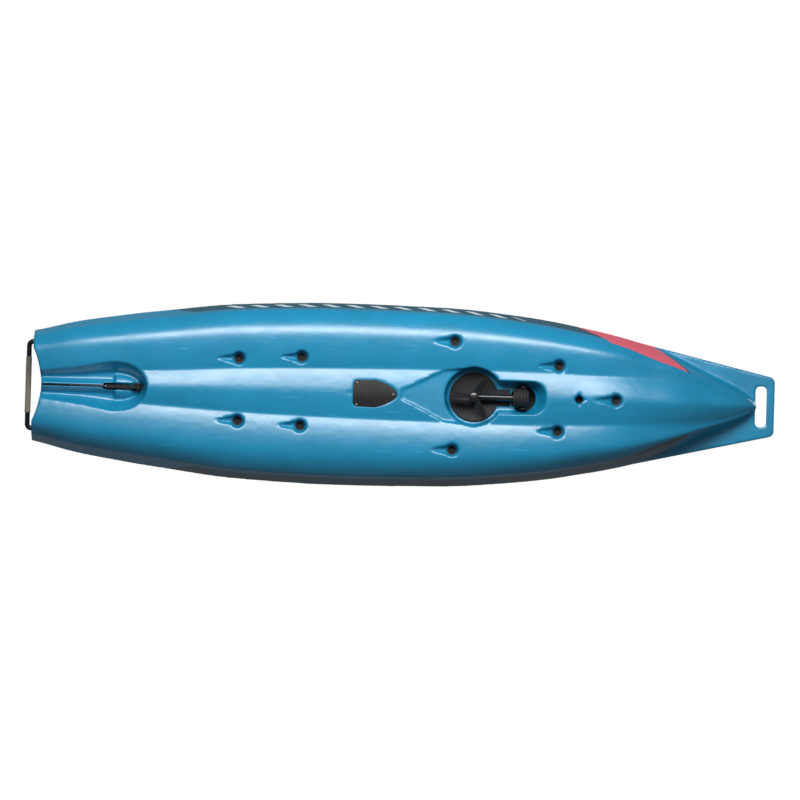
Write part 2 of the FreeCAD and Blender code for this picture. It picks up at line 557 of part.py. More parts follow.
def drive_base():
    """Round foot on the floor's hump, with the fork that carries the folding knuckle."""
    z = HUMP_TOP_Z
    foot = post(BASE_R, PIVOT_X, 0, z, z + BASE_TALL)
    foot = foot.makeFillet(4.0, [foot.Edges[0]])
    neck = Part.makeCone(COLUMN_R + 20, COLUMN_R + 6, 40, V(PIVOT_X, 0, z + BASE_TALL))
    body = foot.fuse(neck).cut(post(COLUMN_R, PIVOT_X, 0, z + BASE_TALL, z + 90))
    body = body.cut(post(COLUMN_R - COLUMN_WALL, PIVOT_X, 0, z - 5, z + 90))
    cheeks = []
    for y in (FORK_Y, -FORK_Y - FORK_THICK):
        plate = Part.makeBox(2 * FORK_HALF, FORK_THICK, z - PIVOT_Z, V(PIVOT_X - FORK_HALF, y, PIVOT_Z))
        cheeks += [plate, barrel(FORK_HALF, PIVOT_X, PIVOT_Z, y, y + FORK_THICK)]
    return body.fuse(cheeks).cut(barrel(PIN_R, PIVOT_X, PIVOT_Z, -70, 70))


def base_clamps():
    """Two toggle clamps that hold the foot down."""
    clamps = []
    for side in (1, -1):
        y = side * (BASE_R - 8)
        block = Part.makeBox(34, 26, 16, V(PIVOT_X - 17, y - 13, HUMP_TOP_Z + BASE_TALL))
        lever = Part.makeBox(96, 18, 7, V(PIVOT_X - 17, y - 9, HUMP_TOP_Z + BASE_TALL + 16))
        clamps.append(block.fuse(lever))
    return Part.makeCompound(clamps)


def drive_column():
    tube = post(COLUMN_R, PIVOT_X, 0, HUMP_TOP_Z + BASE_TALL, CRANK_Z - 50)
    tube = tube.cut(post(COLUMN_R - COLUMN_WALL, PIVOT_X, 0, 0, CRANK_Z))
    return tube.cut(barrel(CASE_R, PIVOT_X, CRANK_Z, -60, 60))


def gear_case(side):
    """Half of the split case round the crank gears."""
    y0, y1 = (0.0, CASE_HALF) if side > 0 else (-CASE_HALF, 0.0)
    shell = barrel(CASE_R, PIVOT_X, CRANK_Z, y0, y1)
    outer_face = y1 if side > 0 else y0
    rim = [e for e in shell.Edges if abs(e.CenterOfMass.y - outer_face) < 0.1 and e.Length > 50]
    shell = shell.makeFillet(8.0, rim)
    room = barrel(CASE_R - CASE_WALL, PIVOT_X, CRANK_Z, y0 + (0 if side > 0 else CASE_WALL + 2),
                  y1 - (CASE_WALL + 2 if side > 0 else 0))
    return shell.cut([room, barrel(CRANK_R + 6, PIVOT_X, CRANK_Z, -60, 60),
                      post(COLUMN_R - COLUMN_WALL, PIVOT_X, 0, CRANK_Z - 80, CRANK_Z - 40)])


def crank_bearings():
    rings = []
    for y0 in (-CASE_HALF, CASE_HALF - 7):
        ring = barrel(CRANK_R + 6, PIVOT_X, CRANK_Z, y0, y0 + 7)
        rings.append(ring.cut(barrel(CRANK_R + RUNNING, PIVOT_X, CRANK_Z, -60, 60)))
    return Part.makeCompound(rings)


def bevel(big_r, small_r, tall, teeth, base, way):
    """Bevel gear: a cone with straight notches between its teeth."""
    blank = Part.makeCone(big_r, small_r, tall, base, way)
    across = V(1, 0, 0) if abs(way.x) < 0.5 else V(0, 1, 0)
    notch_r = math.pi * big_r / teeth / 2.2
    slope = way - across * ((big_r - small_r) / tall)
    notch = Part.makeCylinder(notch_r, 2 * tall + big_r, base + across * big_r - way * tall, slope)
    notches = []
    for k in range(teeth):
        turned = notch.copy()
        turned.rotate(base, way, 360.0 * k / teeth)
        notches.append(turned)
    return blank.cut(notches)


def crank_shaft():
    end = ARM_Y + ARM_THICK
    return barrel(CRANK_R, PIVOT_X, CRANK_Z, -end, end)


def crank_gear():
    gear = bevel(46.0, 38.0, 12.0, 30, V(PIVOT_X, 22, CRANK_Z), V(0, -1, 0))
    return gear.cut(barrel(CRANK_R, PIVOT_X, CRANK_Z, 0, 40))


def column_shaft():
    """Upright shaft from the crank gears to the knuckle."""
    shaft = post(7.0, PIVOT_X, 0, PIVOT_Z + BOOT_R + 12, CRANK_Z - 56)
    pinion = bevel(13.0, 9.0, 8.0, 12, V(PIVOT_X, 0, CRANK_Z - 56), Z_AXIS)
    return shaft.fuse(pinion)


def column_bearings():
    rings = []
    for z in (HUMP_TOP_Z + BASE_TALL + 20, CRANK_Z - 80):
        rings.append(post(COLUMN_R - COLUMN_WALL, PIVOT_X, 0, z, z + 10)
                     .cut(post(7.0 + RUNNING, PIVOT_X, 0, 0, CRANK_Z)))
    return Part.makeCompound(rings)


def crank_arm(side):
    """Port arm points forward and starboard arm points aft."""
    y0 = ARM_Y if side > 0 else -ARM_Y - ARM_THICK
    reach = PIVOT_X + side * CRANK_LENGTH
    boss = barrel(19.0, PIVOT_X, CRANK_Z, y0, y0 + ARM_THICK)
    eye = barrel(13.0, reach, CRANK_Z, y0, y0 + ARM_THICK)
    sides = [V(PIVOT_X, y0, CRANK_Z - 17), V(reach, y0, CRANK_Z - 12),
             V(reach, y0, CRANK_Z + 12), V(PIVOT_X, y0, CRANK_Z + 17)]
    web = Part.Face(Part.makePolygon(sides + [sides[0]])).extrude(V(0, ARM_THICK, 0))
    arm = boss.fuse([eye, web]).cut(barrel(CRANK_R, PIVOT_X, CRANK_Z, -100, 100))
    return arm.cut(barrel(SPINDLE_R, reach, CRANK_Z, -100, 100))


def pedal_spindle(side):
    reach = PIVOT_X + side * CRANK_LENGTH
    inner, outer = ARM_Y, ARM_Y + ARM_THICK + PEDAL_WIDE + 8
    y0, y1 = (inner, outer) if side > 0 else (-outer, -inner)
    return barrel(SPINDLE_R, reach, CRANK_Z, y0, y1)


def pedal(side):
    """Platform with a hollow bed and raised grip bars."""
    reach = PIVOT_X + side * CRANK_LENGTH
    inner = ARM_Y + ARM_THICK + 4
    y0 = inner if side > 0 else -inner - PEDAL_WIDE
    z0 = CRANK_Z - PEDAL_TALL / 2
    body = Part.makeBox(PEDAL_LONG, PEDAL_WIDE, PEDAL_TALL, V(reach - PEDAL_LONG / 2, y0, z0))
    body = body.makeFillet(9.0, [e for e in body.Edges if abs(e.Vertexes[0].Z - e.Vertexes[1].Z) > 1])
    cuts = []
    for dx in (-32.0, 32.0):
        cuts.append(Part.makeBox(20, PEDAL_WIDE - 24, 60, V(reach + dx - 10, y0 + 12, z0 - 10)))
    for k in range(-4, 5):
        for z in (z0 - 1, z0 + PEDAL_TALL - 2):
            cuts.append(Part.makeBox(4, PEDAL_WIDE + 4, 3, V(reach + k * 10.0 - 2, y0 - 2, z)))
    return body.cut(cuts).cut(barrel(SPINDLE_R + RUNNING, reach, CRANK_Z, -300, 300))


def drive_leg():
    """Folding leg: knuckle, tube and the gear nose above the propeller."""
    hub = barrel(KNUCKLE_R, PIVOT_X, PIVOT_Z, -KNUCKLE_HALF, KNUCKLE_HALF)
    tube = rod(LEG_R, WELL_X, PIVOT_X, 0, PIVOT_Z)
    nose = Part.makeCone(NOSE_R - 5, NOSE_R, 24, V(WELL_X, 0, HUB_TOP_Z))
    nose = nose.fuse(Part.makeCone(NOSE_R, NOSE_R - 10, 18, V(WELL_X, 0, HUB_TOP_Z + 24)))
    leg = hub.fuse([tube, nose])
    room = rod(LEG_BORE, WELL_X + 10, PIVOT_X - KNUCKLE_R - 2, 0, PIVOT_Z)
    gear_room = post(LEG_BORE, WELL_X, 0, HUB_TOP_Z + 8, HUB_TOP_Z + 36)
    return leg.cut([room, gear_room, post(PROP_SHAFT_R + RUNNING, WELL_X, 0, 0, HUB_TOP_Z + 20),
                    barrel(PIN_R + RUNNING, PIVOT_X, PIVOT_Z, -70, 70)])


def knuckle_boot():
    """Ribbed rubber bellows along the leg, closed over the knuckle."""
    aft, forward = PIVOT_X - BOOT_AFT, PIVOT_X + BOOT_FORWARD
    boot = rod(BOOT_R - 5, aft, forward - 14, 0, PIVOT_Z)
    ribs = [Part.makeCone(BOOT_R - 5, BOOT_R - 18, 14, V(forward - 14, 0, PIVOT_Z), X_AXIS)]
    for k in range(4):
        ribs.append(rod(BOOT_R, aft + 4 + 17.0 * k, aft + 13 + 17.0 * k, 0, PIVOT_Z))
    boot = boot.fuse(ribs).cut([barrel(KNUCKLE_R, PIVOT_X, PIVOT_Z, -KNUCKLE_HALF, KNUCKLE_HALF),
                                rod(LEG_R, WELL_X, PIVOT_X, 0, PIVOT_Z)])
    return boot.cut(barrel(PIN_R + RUNNING, PIVOT_X, PIVOT_Z, -70, 70))


def knuckle_pin():
    half = FORK_Y + FORK_THICK + 3
    return barrel(PIN_R, PIVOT_X, PIVOT_Z, -half, half)


def leg_shaft():
    shaft = rod(4.0, WELL_X + 14, PIVOT_X - 62, 0, PIVOT_Z)
    return shaft.fuse(bevel(9.5, 6.5, 6.0, 12, V(WELL_X + 22, 0, PIVOT_Z), V(-1, 0, 0)))


def leg_bushes():
    rings = []
    for x in (WELL_X + 40, PIVOT_X - 90):
        rings.append(rod(LEG_BORE, x, x + 10, 0, PIVOT_Z).cut(rod(4.0 + RUNNING, x - 5, x + 20, 0, PIVOT_Z)))
    return Part.makeCompound(rings)


def prop_shaft():
    return post(PROP_SHAFT_R, WELL_X, 0, HUB_LOW_Z + 4, HUB_TOP_Z + 17)


def propeller():
    """Three broad blades on a round hub."""
    hub = post(HUB_R, WELL_X, 0, HUB_LOW_Z, HUB_TOP_Z - 0.6)
    tip, root = PROP_R, HUB_R - 5
    outline = [V(root, -11, 0), V(0.45 * tip, -21, 0), V(0.78 * tip, -23, 0), V(0.97 * tip, -11, 0),
               V(tip, 4, 0), V(0.9 * tip, 18, 0), V(0.6 * tip, 23, 0), V(root, 11, 0)]
    edge = Part.Wire([spline(outline), line(outline[-1], outline[0])])
    blade = Part.Face(edge).extrude(V(0, 0, PROP_BLADE_THICK))
    blade.rotate(V(0, 0, 0), X_AXIS, BLADE_PITCH)
    blade.translate(V(WELL_X, 0, PROP_Z))
    blades = []
    for k in range(3):
        turned = blade.copy()
        turned.rotate(V(WELL_X, 0, 0), Z_AXIS, 60.0 + 120.0 * k)
        blades.append(turned)
    return hub.fuse(blades).cut(post(PROP_SHAFT_R, WELL_X, 0, 0, 80))


def prop_nose_cone():
    cone = Part.makeCone(HUB_R - 14, HUB_R, 11, V(WELL_X, 0, HUB_LOW_Z - 11))
    return cone.cut(post(PROP_SHAFT_R, WELL_X, 0, HUB_LOW_Z + 3, 80))


# ---------------------------------------------------------------- rudder
def rudder_bracket():
    """Plate under the pocket's ceiling with two cheeks that hold the lifting pin."""
    p = RUDDER_PIVOT
    plate = centred_box(p.x - 27, p.x + 27, 20, POCKET_CEILING - 6, POCKET_CEILING)
    inner = HEAD_HALF + 0.5
    cheeks = []
    for y in (inner, -inner - CHEEK_THICK):
        cheeks.append(Part.makeBox(32, CHEEK_THICK, POCKET_CEILING - 6 - p.z, V(p.x - 16, y, p.z)))
        cheeks.append(barrel(16.0, p.x, p.z, y, y + CHEEK_THICK))
    return plate.fuse(cheeks).cut(barrel(6.0, p.x, p.z, -40, 40))


def rudder_pin():
    half = HEAD_HALF + CHEEK_THICK + 1.5
    return barrel(6.0, RUDDER_PIVOT.x, RUDDER_PIVOT.z, -half, half)


def rudder_yoke():
    """Head that swings up and down, with the socket of the blade's stock."""
    p = RUDDER_PIVOT
    hub = barrel(HEAD_R, p.x, p.z, -HEAD_HALF, HEAD_HALF)
    arm = centred_box(BLADE_ROOT_X + 3, p.x, 8, p.z - 10, p.z + 10)
    yoke = hub.fuse(arm).cut(barrel(6.0 + RUNNING, p.x, p.z, -40, 40))
    return yoke.cut(rod(STOCK_R + RUNNING, -1520, p.x - 30, 0, p.z))


def rudder_blade():
    """Thin foil whose leading edge is the steering axis."""
    p = RUDDER_PIVOT
    low, high = p.z + 2, p.z + 2 + BLADE_CHORD
    outline = [V(BLADE_ROOT_X, 0, low), V(BLADE_TIP_X + 30, 0, low)]
    tip = Part.Arc(V(BLADE_TIP_X + 30, 0, low), V(BLADE_TIP_X + 6, 0, low + 24),
                   V(BLADE_TIP_X, 0, low + 52)).toShape()
    back = [V(BLADE_TIP_X, 0, low + 52), V(BLADE_TIP_X, 0, high - 20), V(BLADE_TIP_X + 24, 0, high),
            V(BLADE_ROOT_X - 70, 0, high), V(BLADE_ROOT_X, 0, low + 40), V(BLADE_ROOT_X, 0, low)]
    edges = [line(*outline), tip] + [line(a, b) for a, b in zip(back, back[1:])]
    plate = Part.Face(Part.Wire(edges)).extrude(V(0, BLADE_THICK, 0))
    plate.translate(V(0, -BLADE_THICK / 2, 0))
    return plate


def rudder_stock():
    """Rod that joins the blade to its head, flattened where it grips the blade."""
    return rod(STOCK_R, BLADE_ROOT_X, RUDDER_PIVOT.x - 34, 0, RUDDER_PIVOT.z)


# ---------------------------------------------------------------- deck fittings
def gear_tracks():
    tracks = []
    for x0, x1 in TRACKS:
        for side in (1, -1):
            tracks.append(gear_track(x0 + 1, x1 - 1, side * TRACK_Y))
    return Part.makeCompound(tracks)


def gear_track(x0, x1, y):
    half = TRACK_WIDTH / 2 - 0.5
    z = TRACK_SEAT_Z
    bar = Part.makeBox(x1 - x0, 2 * half, TRACK_TALL, V(x0, y - half, z))
    room = Part.makeBox(x1 - x0, TRACK_SLOT, TRACK_TALL - 2 * TRACK_LIP, V(x0, y - TRACK_SLOT / 2, z + TRACK_LIP))
    mouth = Part.makeBox(x1 - x0, TRACK_MOUTH, TRACK_TALL, V(x0, y - TRACK_MOUTH / 2, z + TRACK_LIP))
    return bar.cut([room, mouth])


def rod_holder(side):
    foot, way = rod_holder_axis(side)
    tube = Part.makeCylinder(ROD_R, ROD_DEPTH, foot + way * 2, way)
    flange = Part.makeCylinder(ROD_FLANGE_R - 0.5, ROD_FLANGE_TALL, foot + way * ROD_DEPTH, way)
    bore = Part.makeCylinder(ROD_R - ROD_WALL, ROD_DEPTH + 40, foot + way * 8, way)
    return tube.fuse(flange).cut(bore)


def steering_base():
    return post(HANDLE_BASE_R - 0.5, HANDLE_X, TRACK_Y, TRACK_SEAT_Z, TRACK_SEAT_Z + 18).fuse(
        post(6.0, HANDLE_X, TRACK_Y, TRACK_SEAT_Z, TRACK_SEAT_Z + 36))


def steering_handle():
    """Tiller lever that turns on its base."""
    z = TRACK_SEAT_Z + 18.4
    hub = post(22.0, HANDLE_X, TRACK_Y, z, z + 20)
    arm = Part.makeBox(96, 16, 11, V(HANDLE_X, TRACK_Y - 8, z + 6))
    knob = post(13.0, HANDLE_X + 96, TRACK_Y, z, z + 34)
    knob = knob.makeFillet(5.0, [knob.Edges[0]])
    return hub.fuse([arm, knob]).cut(post(6.0 + RUNNING, HANDLE_X, TRACK_Y, z - 1, z + 18))


def drain_plug():
    z = DRAIN_SEAT_Z
    body = post(DRAIN_R - 1, *DRAIN_XY, z + 0.3, z + 9)
    grip = Part.makeBox(28, 6, 8, V(DRAIN_XY[0] - 14, DRAIN_XY[1] - 3, z + 8))
    return body.fuse(grip)


def hatch_ring(outer, inner, z0, z1):
    """Flat ring round the hatch: how far it stands outside and inside the bin's edge."""
    x0, x1 = HATCH_X
    ring = rounded_slab(x0 + 20 - outer, x1 - 20 + outer, HATCH_HALF - 20 + outer, 45, z0, z1)
    return ring.cut(rounded_slab(x0 + 20 + inner, x1 - 20 - inner, HATCH_HALF - 20 - inner, 40, z0 - 1, z1 + 1))


def hatch_rim():
    return hatch_ring(20, 0, HATCH_SEAT_Z, HATCH_SEAT_Z + HATCH_RIM_TALL)


def hatch_gasket():
    z = HATCH_SEAT_Z + HATCH_RIM_TALL
    return hatch_ring(12, -5, z, z + GASKET_TALL)


def hatch_hinge_blocks():
    """Fixed barrels of the lid's hinge."""
    x, z = hinge_line()
    blocks = []
    for side in (1, -1):
        y0 = side * HINGE_Y[1] - (HINGE_Y[1] - HINGE_Y[0]) / 4
        wide = (HINGE_Y[1] - HINGE_Y[0]) / 2
        foot = Part.makeBox(HINGE_R + 4, wide, z - HATCH_SEAT_Z, V(x - 4, y0, HATCH_SEAT_Z))
        blocks.append(foot.fuse(barrel(HINGE_R, x, z, y0, y0 + wide)).cut(barrel(3.0, x, z, -100, 100)))
    return Part.makeCompound(blocks)


def hinge_line():
    return HATCH_X[1] + 14.0, HATCH_SEAT_Z + HATCH_RIM_TALL + GASKET_TALL + 8.0


def hatch_hinge_pins():
    x, z = hinge_line()
    half = (HINGE_Y[1] - HINGE_Y[0]) * 0.9
    return Part.makeCompound([barrel(3.0, x, z, side * 52.0 - half, side * 52.0 + half) for side in (1, -1)])


def hatch_lid():
    """Lid plate with its lugs; it rests on the gasket."""
    z = HATCH_SEAT_Z + HATCH_RIM_TALL + GASKET_TALL + 0.3
    lid = rounded_slab(HATCH_X[0] + 2, HATCH_X[1] - 2, HATCH_HALF - 2, 48, z, z + LID_TALL)
    top = [e for e in lid.Edges if e.BoundBox.ZMin > z + LID_TALL - 0.1]
    lid = lid.makeFillet(6.0, top)
    hx, hz = hinge_line()
    lugs = []
    for side in (1, -1):
        y0 = side * 38.0 - 8.0
        lugs += [barrel(HINGE_R, hx, hz, y0, y0 + 16),
                 Part.makeBox(hx - HATCH_X[1] + 20, 16, 9, V(HATCH_X[1] - 20, y0, hz - 4))]
    lid = lid.fuse(lugs).cut(barrel(3.0 + RUNNING, hx, hz, -100, 100))
    spindles = [post(5.0 + RUNNING, LATCH_X + 26, side * LATCH_Y, z, z + 40) for side in (1, -1)]
    return lid.cut(spindles)


def hatch_latch(side):
    """Turn latch: a knob on a spindle through the lid."""
    z = HATCH_SEAT_Z + HATCH_RIM_TALL + GASKET_TALL + 0.3 + LID_TALL
    x, y = LATCH_X + 26, side * LATCH_Y
    spindle = post(5.0, x, y, z - LID_TALL + 1, z + 4)
    knob = post(LATCH_R, x, y, z + 0.4, z + 8).fuse(Part.makeBox(40, 12, 9, V(x - 20, y - 6, z + 3)))
    return spindle.fuse(knob)


def floor_pad(side):
    """Foam mat beside the hump."""
    y0, y1 = HUMP_HALF + 8, 284.0
    pad = prism([(-10, y0), (760, y0), (760, y1 - 34), (560, y1), (-10, y1)], FLOOR_Z, FLOOR_Z + 4)
    pad = pad.cut([post(38, x, abs(y), 0, 300) for x, y in COCKPIT_SCUPPERS])
    return pad if side > 0 else pad.mirror(V(0, 0, 0), Y_AXIS)


# ---------------------------------------------------------------- seat
def seat_rails():
    rails = []
    for side in (1, -1):
        rails.append(Part.makeBox(RAIL_X[1] - RAIL_X[0], RAIL_WIDE, RAIL_TALL,
                                  V(RAIL_X[0], side * SEAT_Y - RAIL_WIDE / 2, FLOOR_Z)))
    return Part.makeCompound(rails)


def loop(x0, x1, half, corner, z):
    """Closed rounded path about the centreline."""
    face = rounded_slab(x0, x1, half, corner, z, z + 1).Faces
    return min(face, key=lambda f: f.CenterOfMass.z).OuterWire


def seat_frame():
    """Ring of tube on four legs."""
    path = loop(SEAT_X[0], SEAT_X[1], SEAT_Y, SEAT_CORNER, SEAT_Z)
    edge = max(path.Edges, key=lambda e: e.Length)
    start = edge.valueAt(edge.FirstParameter)
    ring = Part.Wire(Part.makeCircle(SEAT_TUBE_R, start, edge.tangentAt(edge.FirstParameter)))
    tube = path.makePipeShell([ring], True, False)
    legs = []
    for x in (SEAT_X[0] + 80, SEAT_X[1] - 80):
        for side in (1, -1):
            legs.append(post(SEAT_TUBE_R - 1, x, side * SEAT_Y, FLOOR_Z + RAIL_TALL + 14, SEAT_Z))
    return tube.fuse(legs)


def seat_shoes():
    """Sliding feet that saddle the rails."""
    shoes = []
    z = FLOOR_Z + RAIL_TALL + 0.4
    for x in (SEAT_X[0] + 80, SEAT_X[1] - 80):
        for side in (1, -1):
            y = side * SEAT_Y
            block = Part.makeBox(70, RAIL_WIDE + 14, 26, V(x - 35, y - RAIL_WIDE / 2 - 7, z - 8))
            saddle = Part.makeBox(80, RAIL_WIDE + 0.8, 8, V(x - 40, y - RAIL_WIDE / 2 - 0.4, z - 8))
            socket = post(SEAT_TUBE_R - 1, x, y, FLOOR_Z + RAIL_TALL + 14, SEAT_Z)
            shoes.append(block.fuse(post(18, x, y, z + 17.6, z + 25.6)).cut([saddle, socket]))
    return Part.makeCompound(shoes)


def seat_cushion():
    z = SEAT_Z + SEAT_TUBE_R
    return rounded_slab(SEAT_X[0] + 12, SEAT_X[1] - 4, SEAT_Y - 14, 50, z, z + 40)


def seat_brackets():
    """Plates that carry the back's hinge above the ring."""
    plates = []
    for side in (1, -1):
        y0 = side * SEAT_Y - 3
        corners = [V(BACK_PIVOT.x - 15, y0, BACK_PIVOT.z + 15), V(BACK_PIVOT.x + 15, y0, BACK_PIVOT.z + 15),
                   V(BACK_PIVOT.x + 115, y0, SEAT_Z + SEAT_TUBE_R), V(BACK_PIVOT.x + 80, y0, SEAT_Z + SEAT_TUBE_R)]
        plate = Part.Face(Part.makePolygon(corners + [corners[0]])).extrude(V(0, 6, 0))
        plates.append(plate.cut(barrel(6.0, BACK_PIVOT.x, BACK_PIVOT.z, -300, 300)))
    return Part.makeCompound(plates)


def seat_hinge_pins():
    pins = []
    for side in (1, -1):
        mid = side * (BACK_Y + 10)
        pins.append(barrel(6.0, BACK_PIVOT.x, BACK_PIVOT.z, mid - 22, mid + 22))
    return Part.makeCompound(pins)


def leaned(shape):
    """Tips a shape built upright over the back's hinge to its resting lean."""
    shape.rotate(BACK_PIVOT, Y_AXIS, -BACK_LEAN)
    return shape


def seat_back_frame():
    x, z0 = BACK_PIVOT.x, BACK_PIVOT.z
    top, y, r = z0 + BACK_TALL, BACK_Y, 70.0
    k = r * (1 - math.sqrt(0.5))
    path = Part.Wire([
        line(V(x, y, z0), V(x, y, top - r)),
        Part.Arc(V(x, y, top - r), V(x, y - k, top - k), V(x, y - r, top)).toShape(),
        line(V(x, y - r, top), V(x, -y + r, top)),
        Part.Arc(V(x, -y + r, top), V(x, -y + k, top - k), V(x, -y, top - r)).toShape(),
        line(V(x, -y, top - r), V(x, -y, z0))])
    tube = sweep(path, BACK_TUBE_R)
    eyes = [barrel(14.0, x, z0, side * y - 13, side * y + 13) for side in (1, -1)]
    bar = barrel(8.0, x, z0 + 60, -y, y)
    frame = tube.fuse(eyes + [bar]).cut(barrel(6.0 + RUNNING, x, z0, -300, 300))
    return leaned(frame)


def seat_back_pad():
    """Panel stretched inside the loop."""
    x, z0 = BACK_PIVOT.x, BACK_PIVOT.z
    half = BACK_Y - BACK_TUBE_R - 1
    pad = Part.makeBox(36, 2 * half, BACK_TALL - 90, V(x - 18, -half, z0 + 76))
    corners = [e for e in pad.Edges if abs(e.Vertexes[0].X - e.Vertexes[1].X) > 1]
    return leaned(pad.makeFillet(58.0, corners))


# ---------------------------------------------------------------- all the parts
def all_parts():
    parts = {
        "hull": hull(),
        "scupper_plugs": scupper_plugs(),
        "keel_cover": keel_cover(),
        "keel_cover_screws": keel_cover_screws(),
        "drive_tray": drive_tray(),
        "stern_handle": stern_handle(),
        "stern_handle_grip": stern_handle_grip(),
        "drive_base": drive_base(),
        "base_clamps": base_clamps(),
        "drive_column": drive_column(),
        "crank_bearings": crank_bearings(),
        "crank_shaft": crank_shaft(),
        "crank_gear": crank_gear(),
        "column_shaft": column_shaft(),
        "column_bearings": column_bearings(),
        "drive_leg": drive_leg(),
        "knuckle_boot": knuckle_boot(),
        "knuckle_pin": knuckle_pin(),
        "leg_shaft": leg_shaft(),
        "leg_bushes": leg_bushes(),
        "prop_shaft": prop_shaft(),
        "propeller": propeller(),
        "prop_nose_cone": prop_nose_cone(),
        "rudder_bracket": rudder_bracket(),
        "rudder_pin": rudder_pin(),
        "rudder_yoke": rudder_yoke(),
        "rudder_blade": rudder_blade(),
        "rudder_stock": rudder_stock(),
        "gear_tracks": gear_tracks(),
        "steering_base": steering_base(),
        "steering_handle": steering_handle(),
        "drain_plug": drain_plug(),
        "hatch_rim": hatch_rim(),
        "hatch_gasket": hatch_gasket(),
        "hatch_hinge_blocks": hatch_hinge_blocks(),
        "hatch_hinge_pins": hatch_hinge_pins(),
        "hatch_lid": hatch_lid(),
        "seat_rails": seat_rails(),
        "seat_frame": seat_frame(),
        "seat_shoes": seat_shoes(),
        "seat_cushion": seat_cushion(),
        "seat_brackets": seat_brackets(),
        "seat_hinge_pins": seat_hinge_pins(),
        "seat_back_frame": seat_back_frame(),
        "seat_back_pad": seat_back_pad(),
    }
    for name, side in (("left", 1), ("right", -1)):
        parts["gear_case_" + name] = gear_case(side)
        parts["crank_arm_" + name] = crank_arm(side)
        parts["pedal_spindle_" + name] = pedal_spindle(side)
        parts["pedal_" + name] = pedal(side)
        parts["rod_holder_" + name] = rod_holder(side)
        parts["hatch_latch_" + name] = hatch_latch(side)
        parts["floor_pad_" + name] = floor_pad(side)
    return parts


os.makedirs("parts", exist_ok=True)
for node, shape in all_parts().items():
    shape.exportStep("parts/" + node + ".step")
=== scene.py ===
"""Looks of the pedal kayak: hull skin, seat pads, propeller, rubber sleeves and every material.

Metres, in the CAD frame: +X to the bow, +Y to port, +Z up.
"""
import math

import bmesh
import bpy
from mathutils import Matrix, Vector

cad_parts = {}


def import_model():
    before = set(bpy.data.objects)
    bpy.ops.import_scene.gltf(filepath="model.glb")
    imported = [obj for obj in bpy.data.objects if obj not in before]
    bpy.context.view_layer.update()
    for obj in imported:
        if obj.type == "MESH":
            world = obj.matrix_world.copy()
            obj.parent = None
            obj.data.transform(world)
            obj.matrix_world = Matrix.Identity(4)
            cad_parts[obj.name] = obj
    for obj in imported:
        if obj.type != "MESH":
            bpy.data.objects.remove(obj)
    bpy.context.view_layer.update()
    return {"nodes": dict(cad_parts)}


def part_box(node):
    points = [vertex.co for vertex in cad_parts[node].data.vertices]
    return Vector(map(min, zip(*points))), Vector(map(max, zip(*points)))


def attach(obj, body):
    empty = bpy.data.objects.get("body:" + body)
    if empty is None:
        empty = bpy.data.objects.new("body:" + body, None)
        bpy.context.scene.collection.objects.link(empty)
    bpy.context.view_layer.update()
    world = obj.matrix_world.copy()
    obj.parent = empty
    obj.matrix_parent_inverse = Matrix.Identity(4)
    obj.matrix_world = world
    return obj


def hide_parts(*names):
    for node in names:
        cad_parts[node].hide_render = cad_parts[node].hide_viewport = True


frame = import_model()
scene = bpy.context.scene

# ---------------------------------------------------------------- places, sizes and colours
CAMERA_BELOW = 80.0                 # the camera looks up at the hull from this far under the deck
CAMERA_LEAN = math.radians(1.7)     # and from a little to port
CAMERA_ROLL = math.radians(1.69)
CAMERA_Y = 0.020
FRAME_WIDTH = 4.056                 # what the picture spans at deck level
DECK_LEVEL = 0.30

SKIN_VOXEL = 0.0062                 # how finely the hull's skin is remeshed
SKIN_SMOOTH = 4

BAND_Z, BAND_LEAN = (0.135, 0.300), (-0.92, 1.62)       # dark band on both walls
BARS_Z, BARS_LEAN = (0.165, 0.232), (-0.72, 0.78)       # pale leaning bars, starboard only
FLASH_RISE, FLASH_LEAN = (0.040, 0.260), (1.15, 1.60)   # red flash at the bow, starboard only

PROP_TIP, PROP_ROOT = 0.125, 0.018
BLADE_HALF, BLADE_THICK = 0.0245, 0.0052
HUB_R, HUB_ROUND, HUB_BORE = 0.0258, 0.0018, 0.0065
HUB_LOW, HUB_HIGH = 0.0135, 0.0405

PAD_INSET, PIPING_R = 0.006, 0.0028
BACK_LEAN = math.radians(12.0)

HULL_BLUE = (0.006, 0.225, 0.405)
BAND_BLUE = (0.008, 0.080, 0.125)
BAR_PALE = (0.62, 0.72, 0.76)
FLASH_RED = (0.74, 0.105, 0.150)
BLACK = (0.012, 0.012, 0.013)
CHARCOAL = (0.030, 0.032, 0.035)


def box(node):
    low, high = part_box(node)
    return Vector(low), Vector(high)


